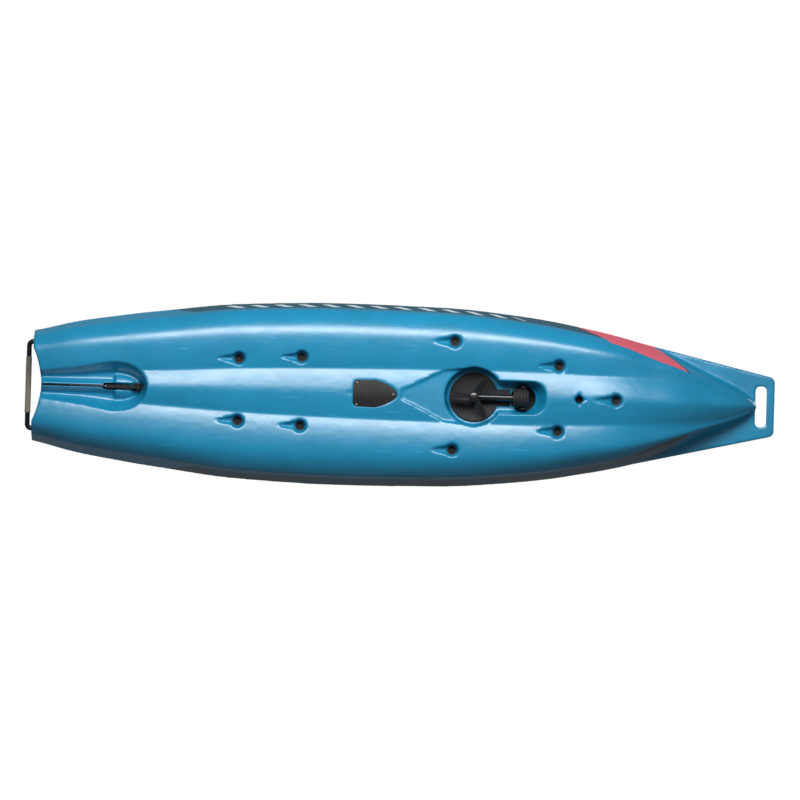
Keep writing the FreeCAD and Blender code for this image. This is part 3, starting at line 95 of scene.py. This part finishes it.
# ---------------------------------------------------------------- materials
class Nodes:
    """Short hand for building one material's node tree."""

    def __init__(self, name):
        self.material = bpy.data.materials.new(name)
        self.material.use_nodes = True
        self.tree = self.material.node_tree
        self.shader = self.tree.nodes["Principled BSDF"]
        coordinates = self.tree.nodes.new("ShaderNodeTexCoord")
        self.place = coordinates.outputs["Object"]

    def add(self, kind, **settings):
        node = self.tree.nodes.new(kind)
        for key, value in settings.items():
            setattr(node, key, value)
        return node

    def link(self, source, target):
        self.tree.links.new(source, target)

    def noise(self, scale, detail=3.0, roughness=0.5, stretch=(1, 1, 1)):
        mapping = self.add("ShaderNodeMapping")
        mapping.inputs["Scale"].default_value = stretch
        self.link(self.place, mapping.inputs["Vector"])
        noise = self.add("ShaderNodeTexNoise")
        noise.inputs["Scale"].default_value = scale
        noise.inputs["Detail"].default_value = detail
        noise.inputs["Roughness"].default_value = roughness
        self.link(mapping.outputs["Vector"], noise.inputs["Vector"])
        return noise.outputs["Fac"]

    def ramp(self, value, low, high, from_value, to_value):
        spread = self.add("ShaderNodeMapRange")
        spread.inputs["From Min"].default_value = low
        spread.inputs["From Max"].default_value = high
        spread.inputs["To Min"].default_value = from_value
        spread.inputs["To Max"].default_value = to_value
        self.link(value, spread.inputs["Value"])
        return spread.outputs["Result"]

    def math(self, operation, *values):
        node = self.add("ShaderNodeMath", operation=operation)
        for socket, value in zip(node.inputs, values):
            if isinstance(value, (int, float)):
                socket.default_value = value
            else:
                self.link(value, socket)
        return node.outputs[0]

    def between(self, value, limits, soft):
        """One between the limits and zero outside them, with soft edges."""
        low, high = limits
        rise = self.ramp(value, low - soft, low + soft, 0.0, 1.0)
        fall = self.ramp(value, high - soft, high + soft, 1.0, 0.0)
        return self.math("MULTIPLY", rise, fall)

    def blend(self, amount, first, second):
        mix = self.add("ShaderNodeMix", data_type="RGBA")
        for value, socket in ((first, mix.inputs[6]), (second, mix.inputs[7])):
            if isinstance(value, tuple):
                socket.default_value = (*value, 1.0)
            else:
                self.link(value, socket)
        self.link(amount, mix.inputs[0])
        return mix.outputs[2]

    def bump(self, height, strength, distance):
        node = self.add("ShaderNodeBump")
        node.inputs["Strength"].default_value = strength
        node.inputs["Distance"].default_value = distance
        self.link(height, node.inputs["Height"])
        previous = self.shader.inputs["Normal"].links
        if previous:
            self.link(previous[0].from_socket, node.inputs["Normal"])
        self.link(node.outputs["Normal"], self.shader.inputs["Normal"])

    def set(self, **values):
        for name, value in values.items():
            socket = self.shader.inputs[name.replace("_", " ")]
            if hasattr(value, "links"):
                self.link(value, socket)
            else:
                socket.default_value = value


def shade(colour, factor):
    return tuple(min(1.0, channel * factor) for channel in colour)


def plastic(name, colour, rough=0.45, grain=700.0, bump=0.15, gloss=0.3):
    """Moulded plastic: fine grain, faint mottling, and shinier rubbed spots."""
    m = Nodes(name)
    mottle = m.ramp(m.noise(9.0, 4.0), 0.3, 0.7, 0.0, 1.0)
    m.set(Base_Color=m.blend(mottle, shade(colour, 0.82), shade(colour, 1.18)), Specular_IOR_Level=gloss)
    m.set(Roughness=m.ramp(m.noise(38.0, 5.0, 0.65), 0.3, 0.75, rough - 0.08, rough + 0.10))
    m.bump(m.noise(grain, 2.0), bump, 0.0006)
    return m.material


def pebbled(name, colour):
    """Black plastic with a leathery pebble grain."""
    m = Nodes(name)
    cells = m.add("ShaderNodeTexVoronoi")
    cells.inputs["Scale"].default_value = 420.0
    m.link(m.place, cells.inputs["Vector"])
    m.set(Base_Color=m.blend(m.noise(14.0), shade(colour, 0.7), shade(colour, 1.6)), Specular_IOR_Level=0.25)
    m.set(Roughness=m.ramp(m.noise(30.0, 4.0), 0.3, 0.7, 0.42, 0.58))
    m.bump(cells.outputs["Distance"], 0.55, 0.0008)
    return m.material


def rubber(name, colour, rough=0.62):
    m = Nodes(name)
    m.set(Base_Color=m.blend(m.noise(22.0, 5.0), shade(colour, 0.75), shade(colour, 1.35)))
    m.set(Roughness=m.ramp(m.noise(60.0, 4.0), 0.3, 0.7, rough - 0.08, rough + 0.12))
    m.bump(m.noise(1100.0, 2.0), 0.2, 0.0005)
    return m.material


def metal(name, colour, rough, streak=(1, 1, 1), bump=0.05):
    """Metal with drawn streaks along one way and patches of handling wear."""
    m = Nodes(name)
    m.set(Base_Color=m.blend(m.noise(25.0, 5.0), shade(colour, 0.86), shade(colour, 1.08)), Metallic=1.0)
    lines = m.noise(260.0, 3.0, 0.6, streak)
    m.set(Roughness=m.ramp(lines, 0.3, 0.7, rough - 0.09, rough + 0.12))
    m.bump(lines, bump, 0.0003)
    return m.material


def foam(name, colour):
    """Deck foam with grooves along the boat, and painted shade darkening the grooves."""
    m = Nodes(name)
    wave = m.add("ShaderNodeTexWave", wave_type="BANDS", bands_direction="Y")
    wave.inputs["Scale"].default_value = 26.0
    m.link(m.place, wave.inputs["Vector"])
    grooves = m.ramp(wave.outputs["Fac"], 0.06, 0.2, 0.0, 1.0)
    # painted shade: the groove bands are coloured at a third of the foam's colour, on top of their bump
    m.set(Base_Color=m.blend(grooves, shade(colour, 0.35), colour), Roughness=0.85)
    m.bump(grooves, 0.8, 0.0015)
    m.bump(m.noise(900.0, 2.0), 0.25, 0.0005)
    return m.material


def mesh_fabric(name, colour):
    """Open woven seat mesh with its own sheen."""
    m = Nodes(name)
    m.set(Roughness=0.82, Sheen_Weight=0.3)
    weave = []
    for way in ("X", "Y", "Z"):
        wave = m.add("ShaderNodeTexWave", wave_type="BANDS", bands_direction=way)
        wave.inputs["Scale"].default_value = 120.0
        m.link(m.place, wave.inputs["Vector"])
        weave.append(wave.outputs["Fac"])
    threads = m.math("MULTIPLY", m.math("MAXIMUM", weave[0], weave[2]), weave[1])
    m.set(Base_Color=m.blend(threads, shade(colour, 0.35), shade(colour, 1.5)))
    m.bump(threads, 0.7, 0.0009)
    m.bump(m.noise(40.0, 3.0), 0.25, 0.004)
    return m.material


def wall_graphics(m, base, place, y):
    """Paint on the outer walls: a dark band, and to starboard pale bars and a red flash."""
    x, z = place
    geometry = m.add("ShaderNodeNewGeometry")
    facing = m.add("ShaderNodeSeparateXYZ")
    m.link(geometry.outputs["Normal"], facing.inputs["Vector"])
    outward = m.math("MULTIPLY", facing.outputs["Y"], m.math("SIGN", y))
    walls = m.ramp(outward, 0.72, 0.80, 0.0, 1.0)
    starboard_wall = m.math("MULTIPLY", walls, m.math("LESS_THAN", y, 0.0))

    edge, end = 0.0015, 0.004
    lean = m.math("ADD", x, m.math("MULTIPLY", z, 0.9))
    band = m.math("MULTIPLY", walls, m.between(z, BAND_Z, edge))
    band = m.math("MULTIPLY", band, m.between(lean, BAND_LEAN, end))
    base = m.blend(band, base, BAND_BLUE)

    stripe = m.add("ShaderNodeTexWave", wave_type="BANDS", bands_direction="X")
    stripe.inputs["Scale"].default_value = 2.6
    leaning = m.add("ShaderNodeCombineXYZ")
    m.link(lean, leaning.inputs["X"])
    m.link(leaning.outputs["Vector"], stripe.inputs["Vector"])
    bars = m.ramp(stripe.outputs["Fac"], 0.70, 0.74, 0.0, 1.0)
    bars = m.math("MULTIPLY", bars, m.between(z, BARS_Z, edge))
    bars = m.math("MULTIPLY", bars, m.between(lean, BARS_LEAN, end))
    base = m.blend(m.math("MULTIPLY", bars, starboard_wall), base, BAR_PALE)

    rise = m.math("SUBTRACT", z, m.math("MULTIPLY", x, 0.06))
    flash = m.math("MULTIPLY", m.between(lean, FLASH_LEAN, end), m.between(rise, FLASH_RISE, edge))
    return m.blend(m.math("MULTIPLY", flash, starboard_wall), base, FLASH_RED)


def hull_plastic():
    """Rotomoulded polyethylene: satin blue, faint flow marks, painted walls and a scuffed keel."""
    m = Nodes("hull_polyethylene")
    split = m.add("ShaderNodeSeparateXYZ")
    m.link(m.place, split.inputs["Vector"])
    x, y, z = split.outputs

    mottle = m.ramp(m.noise(5.0, 5.0, 0.6, (0.6, 1, 1)), 0.3, 0.7, 0.0, 1.0)
    base = m.blend(mottle, shade(HULL_BLUE, 0.90), shade(HULL_BLUE, 1.10))
    speck = m.ramp(m.noise(420.0, 2.0), 0.62, 0.72, 0.0, 0.25)
    base = m.blend(speck, base, shade(HULL_BLUE, 1.5))
    base = wall_graphics(m, base, (x, z), y)

    scratch = m.ramp(m.noise(34.0, 6.0, 0.7, (0.12, 1.6, 1)), 0.62, 0.70, 0.0, 1.0)
    low_part = m.ramp(z, 0.004, 0.03, 1.0, 0.0)
    scuffs = m.math("MULTIPLY", scratch, m.math("MULTIPLY", low_part, 0.55))
    base = m.blend(scuffs, base, shade(HULL_BLUE, 2.1))

    m.set(Base_Color=base, Specular_IOR_Level=0.85)
    rough = m.ramp(m.noise(16.0, 5.0, 0.6, (0.5, 1, 1)), 0.3, 0.7, 0.27, 0.36)
    m.set(Roughness=m.math("ADD", rough, m.math("MULTIPLY", scuffs, 0.4)))
    m.bump(m.noise(520.0, 2.0), 0.10, 0.0006)
    m.bump(m.noise(7.0, 3.0, 0.5, (0.5, 1, 1)), 0.12, 0.006)
    m.bump(scratch, 0.03, 0.001)
    return m.material


def make_materials():
    return {
        "hull": hull_plastic(),
        "pebbled": pebbled("pebbled_black", BLACK),
        "black": plastic("black_plastic", BLACK, 0.40),
        "gloss": plastic("black_nylon", BLACK, 0.26, 500.0, 0.06, gloss=0.6),
        "charcoal": plastic("charcoal_plastic", CHARCOAL, 0.50),
        "rubber": rubber("black_rubber", BLACK),
        "steel": metal("stainless", (0.62, 0.63, 0.64), 0.26, (0.1, 1, 1)),
        "aluminium": metal("anodised_aluminium", (0.52, 0.53, 0.55), 0.34, (0.06, 1, 1)),
        "dark_metal": metal("black_anodised", (0.045, 0.046, 0.05), 0.32, (1, 0.06, 1)),
        "tan": rubber("tan_sleeve", (0.26, 0.22, 0.165), 0.70),
        "foam": foam("deck_foam", (0.10, 0.11, 0.12)),
        "mesh": mesh_fabric("seat_mesh", (0.045, 0.05, 0.055)),
        "piping": rubber("seat_piping", (0.02, 0.02, 0.022), 0.7),
    }


MATERIAL_OF = {
    "pebbled": "keel_cover hatch_lid drive_tray".split(),
    "black": """drive_base drive_column gear_case_left gear_case_right rudder_bracket rudder_yoke
        steering_base steering_handle hatch_rim hatch_hinge_blocks hatch_latch_left hatch_latch_right
        drain_plug pedal_left pedal_right rod_holder_left rod_holder_right leg_bushes seat_shoes
        knuckle_pin""".split(),
    "gloss": "drive_leg rudder_blade prop_nose_cone propeller".split(),
    "charcoal": ["base_clamps"],
    "rubber": "scupper_plugs hatch_gasket knuckle_boot".split(),
    "steel": """keel_cover_screws crank_shaft crank_gear column_shaft crank_bearings column_bearings
        leg_shaft prop_shaft rudder_pin rudder_stock pedal_spindle_left pedal_spindle_right hatch_hinge_pins
        seat_hinge_pins""".split(),
    "aluminium": """gear_tracks seat_rails seat_frame seat_brackets seat_back_frame
        crank_arm_left crank_arm_right""".split(),
    "dark_metal": ["stern_handle"],
    "tan": ["stern_handle_grip"],
    "foam": "floor_pad_left floor_pad_right".split(),
    "mesh": "seat_cushion seat_back_pad".split(),
    "hull": ["hull"],
}


def dress_nodes(materials):
    for name, nodes in MATERIAL_OF.items():
        for node in nodes:
            piece = frame["nodes"][node]
            for slot in piece.material_slots:
                slot.material = materials[name]


# ---------------------------------------------------------------- mesh helpers
def new_piece(name, vertices, faces, material, smooth=True):
    mesh = bpy.data.meshes.new(name)
    mesh.from_pydata([tuple(v) for v in vertices], [], faces)
    mesh.validate()
    piece = bpy.data.objects.new(name, mesh)
    scene.collection.objects.link(piece)
    mesh.materials.append(material)
    if smooth:
        mesh.shade_smooth()
    else:
        mesh.shade_flat()
    return piece


def stand_in(piece, body, node):
    """The piece moves with the body and is seen in place of the CAD node."""
    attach(piece, body)
    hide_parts(node)


def weld(piece, distance=1e-4):
    work = bmesh.new()
    work.from_mesh(piece.data)
    bmesh.ops.remove_doubles(work, verts=work.verts, dist=distance)
    bmesh.ops.recalc_face_normals(work, faces=work.faces)
    work.to_mesh(piece.data)
    work.free()


def apply_modifiers(piece):
    graph = bpy.context.evaluated_depsgraph_get()
    mesh = bpy.data.meshes.new_from_object(piece.evaluated_get(graph))
    piece.modifiers.clear()
    piece.data = mesh


def revolve(profile, centre, axis, count=64):
    """Closed ring mesh: profile points are (along the axis, radius)."""
    axis = Vector(axis).normalized()
    across = axis.orthogonal().normalized()
    other = axis.cross(across)
    vertices, faces = [], []
    for k in range(count):
        angle = 2 * math.pi * k / count
        way = across * math.cos(angle) + other * math.sin(angle)
        vertices += [centre + axis * along + way * radius for along, radius in profile]
    n = len(profile)
    for k in range(count):
        a, b = k * n, (k + 1) % count * n
        for i in range(n):
            j = (i + 1) % n
            faces.append((a + i, b + i, b + j, a + j))
    return vertices, faces


# ---------------------------------------------------------------- hull
def biggest_island(mesh):
    """Bmesh of the largest connected skin, with doubled vertices joined."""
    work = bmesh.new()
    work.from_mesh(mesh)
    bmesh.ops.remove_doubles(work, verts=work.verts, dist=1e-5)
    unseen = set(work.verts)
    best, best_size = None, 0.0
    while unseen:
        stack = [unseen.pop()]
        island = []
        while stack:
            vertex = stack.pop()
            island.append(vertex)
            for edge in vertex.link_edges:
                other = edge.other_vert(vertex)
                if other in unseen:
                    unseen.remove(other)
                    stack.append(other)
        xs = [vertex.co.x for vertex in island]
        if max(xs) - min(xs) > best_size:
            best, best_size = set(island), max(xs) - min(xs)
    bmesh.ops.delete(work, geom=[v for v in work.verts if v not in best], context="VERTS")
    return work


def hull_skin(material):
    """The moulding's outside, with every edge rounded as it comes from the mould."""
    source = frame["nodes"]["hull"]
    work = biggest_island(source.data)
    mesh = bpy.data.meshes.new("hull_skin")
    work.to_mesh(mesh)
    work.free()
    mesh.materials.clear()
    mesh.materials.append(material)
    skin = bpy.data.objects.new("hull_skin", mesh)
    scene.collection.objects.link(skin)
    remesh = skin.modifiers.new("skin", "REMESH")
    remesh.mode = "VOXEL"
    remesh.voxel_size = SKIN_VOXEL
    remesh.use_smooth_shade = True
    soften = skin.modifiers.new("soften", "SMOOTH")
    soften.factor = 0.5
    soften.iterations = SKIN_SMOOTH
    apply_modifiers(skin)
    skin.data.shade_smooth()
    stand_in(skin, "root", "hull")


# ---------------------------------------------------------------- stage, lights and camera
def stage_floor():
    """Pale floor under the boat; it is clear from below, where the camera is."""
    size = 9.0
    floor = new_piece("floor", [(-size, -size, -0.001), (size, -size, -0.001),
                                (size, size, -0.001), (-size, size, -0.001)], [(0, 1, 2, 3)], None, False)
    m = Nodes("pale_floor")
    m.set(Base_Color=(0.80, 0.80, 0.79, 1.0), Roughness=0.8)
    geometry = m.add("ShaderNodeNewGeometry")
    clear = m.add("ShaderNodeBsdfTransparent")
    mix = m.add("ShaderNodeMixShader")
    m.link(geometry.outputs["Backfacing"], mix.inputs[0])
    m.link(m.shader.outputs[0], mix.inputs[1])
    m.link(clear.outputs[0], mix.inputs[2])
    m.link(mix.outputs[0], m.tree.nodes["Material Output"].inputs["Surface"])
    floor.data.materials.clear()
    floor.data.materials.append(m.material)
    floor.visible_shadow = False
    floor.visible_diffuse = False
    floor.visible_glossy = False
    floor.visible_transmission = False


def area_light(name, place, target, width, height, power):
    light = bpy.data.lights.new(name, "AREA")
    light.shape = "RECTANGLE"
    light.size, light.size_y = width, height
    light.energy = power
    holder = bpy.data.objects.new(name, light)
    scene.collection.objects.link(holder)
    holder.location = place
    way = Vector(target) - Vector(place)
    holder.rotation_euler = way.to_track_quat("-Z", "Y").to_euler()


def overhead(name, come_from, strength):
    """Wide even light from above; it leaves no glints, so the walls stay dark seen from below."""
    light = bpy.data.lights.new(name, "SUN")
    light.energy = strength
    light.angle = math.radians(35)
    holder = bpy.data.objects.new(name, light)
    scene.collection.objects.link(holder)
    holder.rotation_euler = Vector(come_from).to_track_quat("Z", "Y").to_euler()
    holder.visible_glossy = False


def lights():
    area_light("under_key", (0.0, -2.4, -3.8), (0, 0, 0.1), 4.5, 1.8, 300)
    area_light("top_front", (4.5, -1.0, 2.8), (0.3, 0, 0.2), 2.5, 2.0, 80)
    overhead("top_even", (-0.45, -0.55, 1.0), 3.0)


def world():
    """White behind the boat for the camera, and a dimmer soft grey for lighting."""
    sky = bpy.data.worlds.new("studio")
    scene.world = sky
    sky.use_nodes = True
    tree = sky.node_tree
    soft = tree.nodes["Background"]
    soft.inputs["Color"].default_value = (0.93, 0.96, 1.0, 1.0)
    soft.inputs["Strength"].default_value = 0.16
    white = tree.nodes.new("ShaderNodeBackground")
    white.inputs["Color"].default_value = (1, 1, 1, 1)
    path = tree.nodes.new("ShaderNodeLightPath")
    mix = tree.nodes.new("ShaderNodeMixShader")
    tree.links.new(path.outputs["Is Camera Ray"], mix.inputs[0])
    tree.links.new(soft.outputs[0], mix.inputs[1])
    tree.links.new(white.outputs[0], mix.inputs[2])
    tree.links.new(mix.outputs[0], tree.nodes["World Output"].inputs["Surface"])


def camera():
    """Up at the underside from a little to port: the bow to the right, starboard to the top."""
    data = bpy.data.cameras.new("camera")
    data.sensor_width = 36.0
    data.lens = 36.0 * CAMERA_BELOW / FRAME_WIDTH
    data.clip_end = 400.0
    holder = bpy.data.objects.new("camera", data)
    scene.collection.objects.link(holder)
    back = Vector((0, math.sin(CAMERA_LEAN), -math.cos(CAMERA_LEAN)))
    right = Vector((math.cos(CAMERA_ROLL), -math.sin(CAMERA_ROLL), 0))
    right = (right - back * right.dot(back)).normalized()
    turn = Matrix((right, back.cross(right), back)).transposed()
    place = Vector((0.0, CAMERA_Y, DECK_LEVEL)) + back * CAMERA_BELOW
    holder.matrix_world = Matrix.Translation(place) @ turn.to_4x4()
    scene.camera = holder


# ---------------------------------------------------------------- soft and turned pieces
def pad_mesh(length, width, thick, crown, channels, rows=72, columns=64):
    """Crowned pad about the origin: long in X, wide in Y, sewn across in channels."""
    def corner_pull(u, v):
        power = 7.0
        reach = (abs(u) ** power + abs(v) ** power) ** (1 / power)
        square = max(abs(u), abs(v))
        return square / reach if reach > 1e-6 else 1.0

    def surface(u, v, side):
        pull = corner_pull(u, v)
        x, y = u * pull * length / 2, v * pull * width / 2
        edge = max(abs(u), abs(v))
        dome = (1 - edge ** 4) ** 0.5 if edge < 1 else 0.0
        belly = crown * (1 - u * u) * (1 - v * v)
        sewn = 0.0
        for place in channels:
            sewn += math.exp(-((u - place) / 0.022) ** 2)
        waist = 1 - 0.30 * min(sewn, 1.0)
        return Vector((x, y, side * (thick / 2 * dome * waist + (belly if side > 0 else 0.0) * waist)))

    vertices, faces = [], []
    for side in (1, -1):
        for i in range(rows + 1):
            for j in range(columns + 1):
                u, v = math.sin(math.pi * (i / rows - 0.5)), math.sin(math.pi * (j / columns - 0.5))
                vertices.append(surface(u, v, side))
    layer = (rows + 1) * (columns + 1)
    for side in range(2):
        for i in range(rows):
            for j in range(columns):
                a = side * layer + i * (columns + 1) + j
                quad = (a, a + columns + 1, a + columns + 2, a + 1)
                faces.append(quad if side == 0 else quad[::-1])
    return vertices, faces


def tube_along(name, points, radius, material, closed=False):
    """Round tube mesh along a smooth line of points."""
    curve = bpy.data.curves.new(name + "_line", "CURVE")
    curve.dimensions = "3D"
    curve.bevel_depth = radius
    curve.bevel_resolution = 4
    line = curve.splines.new("POLY")
    line.points.add(len(points) - 1)
    for point, place in zip(line.points, points):
        point.co = (*place, 1.0)
    line.use_cyclic_u = closed
    holder = bpy.data.objects.new(name + "_line", curve)
    scene.collection.objects.link(holder)
    graph = bpy.context.evaluated_depsgraph_get()
    mesh = bpy.data.meshes.new_from_object(holder.evaluated_get(graph))
    bpy.data.objects.remove(holder)
    mesh.name = name
    mesh.materials.clear()
    mesh.materials.append(material)
    mesh.shade_smooth()
    piece = bpy.data.objects.new(name, mesh)
    scene.collection.objects.link(piece)
    return piece


def place_mesh(piece, matrix):
    piece.data.transform(matrix)
    piece.data.update()


def pad_outline(length, width, inset, height, count=120):
    """Points round a pad's seam."""
    points = []
    for k in range(count):
        angle = 2 * math.pi * k / count
        c, s = math.cos(angle), math.sin(angle)
        power = 2 / 7.0
        points.append(Vector((math.copysign(abs(c) ** power, c) * (length / 2 - inset),
                              math.copysign(abs(s) ** power, s) * (width / 2 - inset), height)))
    return points


def sewn_pad(name, node, size, crown, channels, turn, materials):
    """Mesh cover with piping round its seam, put in place by the turn matrix."""
    length, width, thick = size
    vertices, faces = pad_mesh(length, width, thick, crown, channels)
    cover = new_piece(name + "_cover", vertices, faces, materials["mesh"])
    weld(cover)
    place_mesh(cover, turn)
    seam = pad_outline(length, width, 0.001, 0.0)
    piping = tube_along(name + "_piping", seam, PIPING_R, materials["piping"], True)
    place_mesh(piping, turn)
    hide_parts(node)
    return cover, piping


def seat_cushion(materials):
    low, high = box("seat_cushion")
    size = high - low
    thick = size.z * 0.86
    centre = (low + high) / 2
    turn = Matrix.Translation(Vector((centre.x, centre.y, low.z + thick / 2 + 0.0008)))
    size = (size.x - PAD_INSET, size.y - PAD_INSET, thick)
    cover, piping = sewn_pad("cushion", "seat_cushion", size, 0.010, (-0.42, 0.0, 0.42), turn, materials)
    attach(cover, "seat")
    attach(piping, "seat")


def seat_back(materials):
    low, high = box("seat_back_pad")
    tall = (high.z - low.z - 0.036 * math.sin(BACK_LEAN)) / math.cos(BACK_LEAN)
    size = (tall - PAD_INSET, high.y - low.y - PAD_INSET, 0.030)
    up = Vector((-math.sin(BACK_LEAN), 0, math.cos(BACK_LEAN)))
    front = Vector((math.cos(BACK_LEAN), 0, math.sin(BACK_LEAN)))
    turn = Matrix((up, Vector((0, -1, 0)), front)).transposed()
    turn = Matrix.Translation((low + high) / 2) @ turn.to_4x4()
    cover, piping = sewn_pad("back", "seat_back_pad", size, 0.004, (-0.5, -0.12, 0.34), turn, materials)
    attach(cover, "seat_back")
    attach(piping, "seat_back")


def blade_ring(reach, around):
    """One cross-section of a blade that points along X, as points about the propeller's centre."""
    f = reach / PROP_TIP
    half = BLADE_HALF * math.sqrt(max(0.0, 1 - f ** 5)) * (0.38 + 0.62 * min(1.0, f / 0.62) ** 0.8)
    pitch = math.radians(48 - 14 * f)
    sweep = 0.010 * (f - 0.4)
    thick = BLADE_THICK * (1 - 0.55 * f) + 0.0006
    ring = []
    for k in range(around):
        angle = 2 * math.pi * k / around
        chord = half * math.cos(angle)
        lift = thick * math.sin(angle) * (0.55 + 0.45 * abs(math.sin(angle)))
        camber = 0.004 * (1 - (chord / half) ** 2) if half > 1e-5 else 0.0
        y, z = chord + sweep, lift + camber
        ring.append(Vector((reach, y * math.cos(pitch) - z * math.sin(pitch),
                            y * math.sin(pitch) + z * math.cos(pitch))))
    return ring


def propeller(materials):
    """Three slim, twisted, round-tipped blades on a smooth hub."""
    low, high = box("propeller")
    shaft_low, shaft_high = box("prop_shaft")
    centre = Vector(((shaft_low.x + shaft_high.x) / 2, 0.0, (low.z + high.z) / 2))
    stations, around = 26, 24
    vertices, faces = [], []
    for blade in range(3):
        turn = Matrix.Rotation(math.radians(60 + 120 * blade), 3, "Z")
        start = len(vertices)
        for i in range(stations):
            reach = PROP_ROOT + (PROP_TIP - PROP_ROOT) * math.sin(i / (stations - 1) * math.pi / 2)
            vertices += [centre + turn @ point for point in blade_ring(reach, around)]
        for i in range(stations - 1):
            for k in range(around):
                a, b = start + i * around + k, start + i * around + (k + 1) % around
                faces.append((a, b, b + around, a + around))
        faces.append(tuple(start + k for k in range(around))[::-1])
        faces.append(tuple(start + (stations - 1) * around + k for k in range(around)))
    base = len(vertices)
    z0, z1 = HUB_LOW - centre.z, HUB_HIGH - centre.z
    inner = HUB_R - HUB_ROUND
    profile = [(z0, HUB_BORE), (z0, inner), (z0 + 0.002, HUB_R), (z1 - 0.004, HUB_R), (z1 - 0.001, inner),
               (z1, HUB_BORE)]
    hub_vertices, hub_faces = revolve(profile, centre, (0, 0, 1), 48)
    vertices += hub_vertices
    faces += [tuple(base + i for i in face) for face in hub_faces]
    prop = new_piece("propeller_blades", vertices, faces, materials["gloss"])
    weld(prop, 1e-5)
    stand_in(prop, "prop", "propeller")


def nose_cone(materials):
    low, high = box("prop_nose_cone")
    centre = Vector(((low.x + high.x) / 2, 0, high.z))
    deep = high.z - low.z
    steps = 11
    angles = [math.pi / 2 * 0.97 * k / steps for k in range(steps + 1)]
    outer = [(-deep * math.sin(angle), HUB_R * math.cos(angle)) for angle in angles]
    profile = [(0.0, 0.0075)] + outer + [(-deep * 0.8, 0.0005)]
    vertices, faces = revolve(profile, centre, (0, 0, 1), 48)
    cone = new_piece("spinner", vertices, faces, materials["gloss"])
    weld(cone, 1e-5)
    stand_in(cone, "prop", "prop_nose_cone")


def boot(materials):
    """Rubber bellows along the leg: soft rings and a domed forward end."""
    low, high = box("knuckle_boot")
    half, crest = (high.x - low.x) / 2, (high.z - low.z) / 2
    ring, groove, dome = 0.017, 0.0046, 0.024
    outer = []
    steps = 96
    for k in range(steps + 1):
        along = -half + 2 * half * k / steps
        wave = 0.5 - 0.5 * math.cos(2 * math.pi * (along + half) / ring)
        past = max(0.0, (along - half + dome) / dome)
        outer.append((along, (crest - groove * (1 - wave ** 0.7)) * (1 - 0.40 * past ** 2.2)))
    profile = [(-half + 0.001, 0.017)] + outer + [(half - 0.001, 0.009)]
    vertices, faces = revolve(profile, (low + high) / 2, (1, 0, 0), 72)
    sleeve = new_piece("boot_rings", vertices, faces, materials["rubber"])
    weld(sleeve, 1e-5)
    stand_in(sleeve, "leg", "knuckle_boot")


def grip_sleeve(materials):
    """Soft grip with shallow rings and rounded ends."""
    low, high = box("stern_handle_grip")
    half, crest = (high.y - low.y) / 2, (high.z - low.z) / 2
    inner = crest - 0.0033
    round_end, plain_end = 0.004, 0.018
    outer = []
    steps = 140
    for k in range(steps + 1):
        y = -half + 2 * half * k / steps
        ring = 0.0007 * (0.5 + 0.5 * math.cos(2 * math.pi * y / 0.008)) if abs(y) < half - plain_end else 0.0
        ends = math.sqrt(max(0.0, 1 - max(0.0, (abs(y) - half + round_end) / round_end) ** 2))
        outer.append((y, inner + (crest - inner) * (0.25 + 0.75 * ends) - ring))
    profile = [(-half, inner - 0.0005)] + outer + [(half, inner - 0.0005)]
    vertices, faces = revolve(profile, (low + high) / 2, (0, 1, 0), 48)
    sleeve = new_piece("grip_rings", vertices, faces, materials["tan"])
    weld(sleeve, 1e-5)
    stand_in(sleeve, "root", "stern_handle_grip")


def rounded_copies(materials):
    """Moulded pieces whose CAD edges are sharp: the same shape with its edges rounded."""
    wanted = (
        ("pedal_left", "left_pedal", "black", "black_plastic", 0.0012),
        ("pedal_right", "right_pedal", "black", "black_plastic", 0.0012),
        ("rudder_blade", "rudder", "gloss", "black_gloss", 0.0014),
        ("crank_arm_left", "crank", "aluminium", "aluminium", 0.0020),
        ("crank_arm_right", "crank", "aluminium", "aluminium", 0.0020),
        ("steering_handle", "steering", "black", "black_plastic", 0.0018),
        ("base_clamps", "root", "charcoal", "black_plastic", 0.0018),
        ("seat_shoes", "seat", "black", "black_plastic", 0.0018),
        ("drive_tray", "root", "pebbled", "black_plastic", 0.0012),
        ("drive_base", "root", "black", "black_plastic", 0.0012),
        ("floor_pad_left", "root", "foam", "deck_foam", 0.0012),
        ("floor_pad_right", "root", "foam", "deck_foam", 0.0012),
    )
    for node, body, look, slot, width in wanted:
        work = bmesh.new()
        work.from_mesh(frame["nodes"][node].data)
        bmesh.ops.remove_doubles(work, verts=work.verts, dist=1e-5)
        mesh = bpy.data.meshes.new(node + "_rounded")
        work.to_mesh(mesh)
        work.free()
        mesh.materials.clear()
        mesh.materials.append(materials[look])
        piece = bpy.data.objects.new(node + "_rounded", mesh)
        scene.collection.objects.link(piece)
        bevel = piece.modifiers.new("edges", "BEVEL")
        bevel.width = width
        bevel.segments = 2
        bevel.limit_method = "ANGLE"
        bevel.angle_limit = math.radians(40)
        bevel.use_clamp_overlap = True
        apply_modifiers(piece)
        piece.data.shade_smooth()
        stand_in(piece, body, node)


# ---------------------------------------------------------------- the scene
scene.view_settings.view_transform = "Standard"
camera()
world()
lights()
stage_floor()
materials = make_materials()
dress_nodes(materials)
hull_skin(materials["hull"])
seat_cushion(materials)
seat_back(materials)
propeller(materials)
nose_cone(materials)
boot(materials)
grip_sleeve(materials)
rounded_copies(materials)
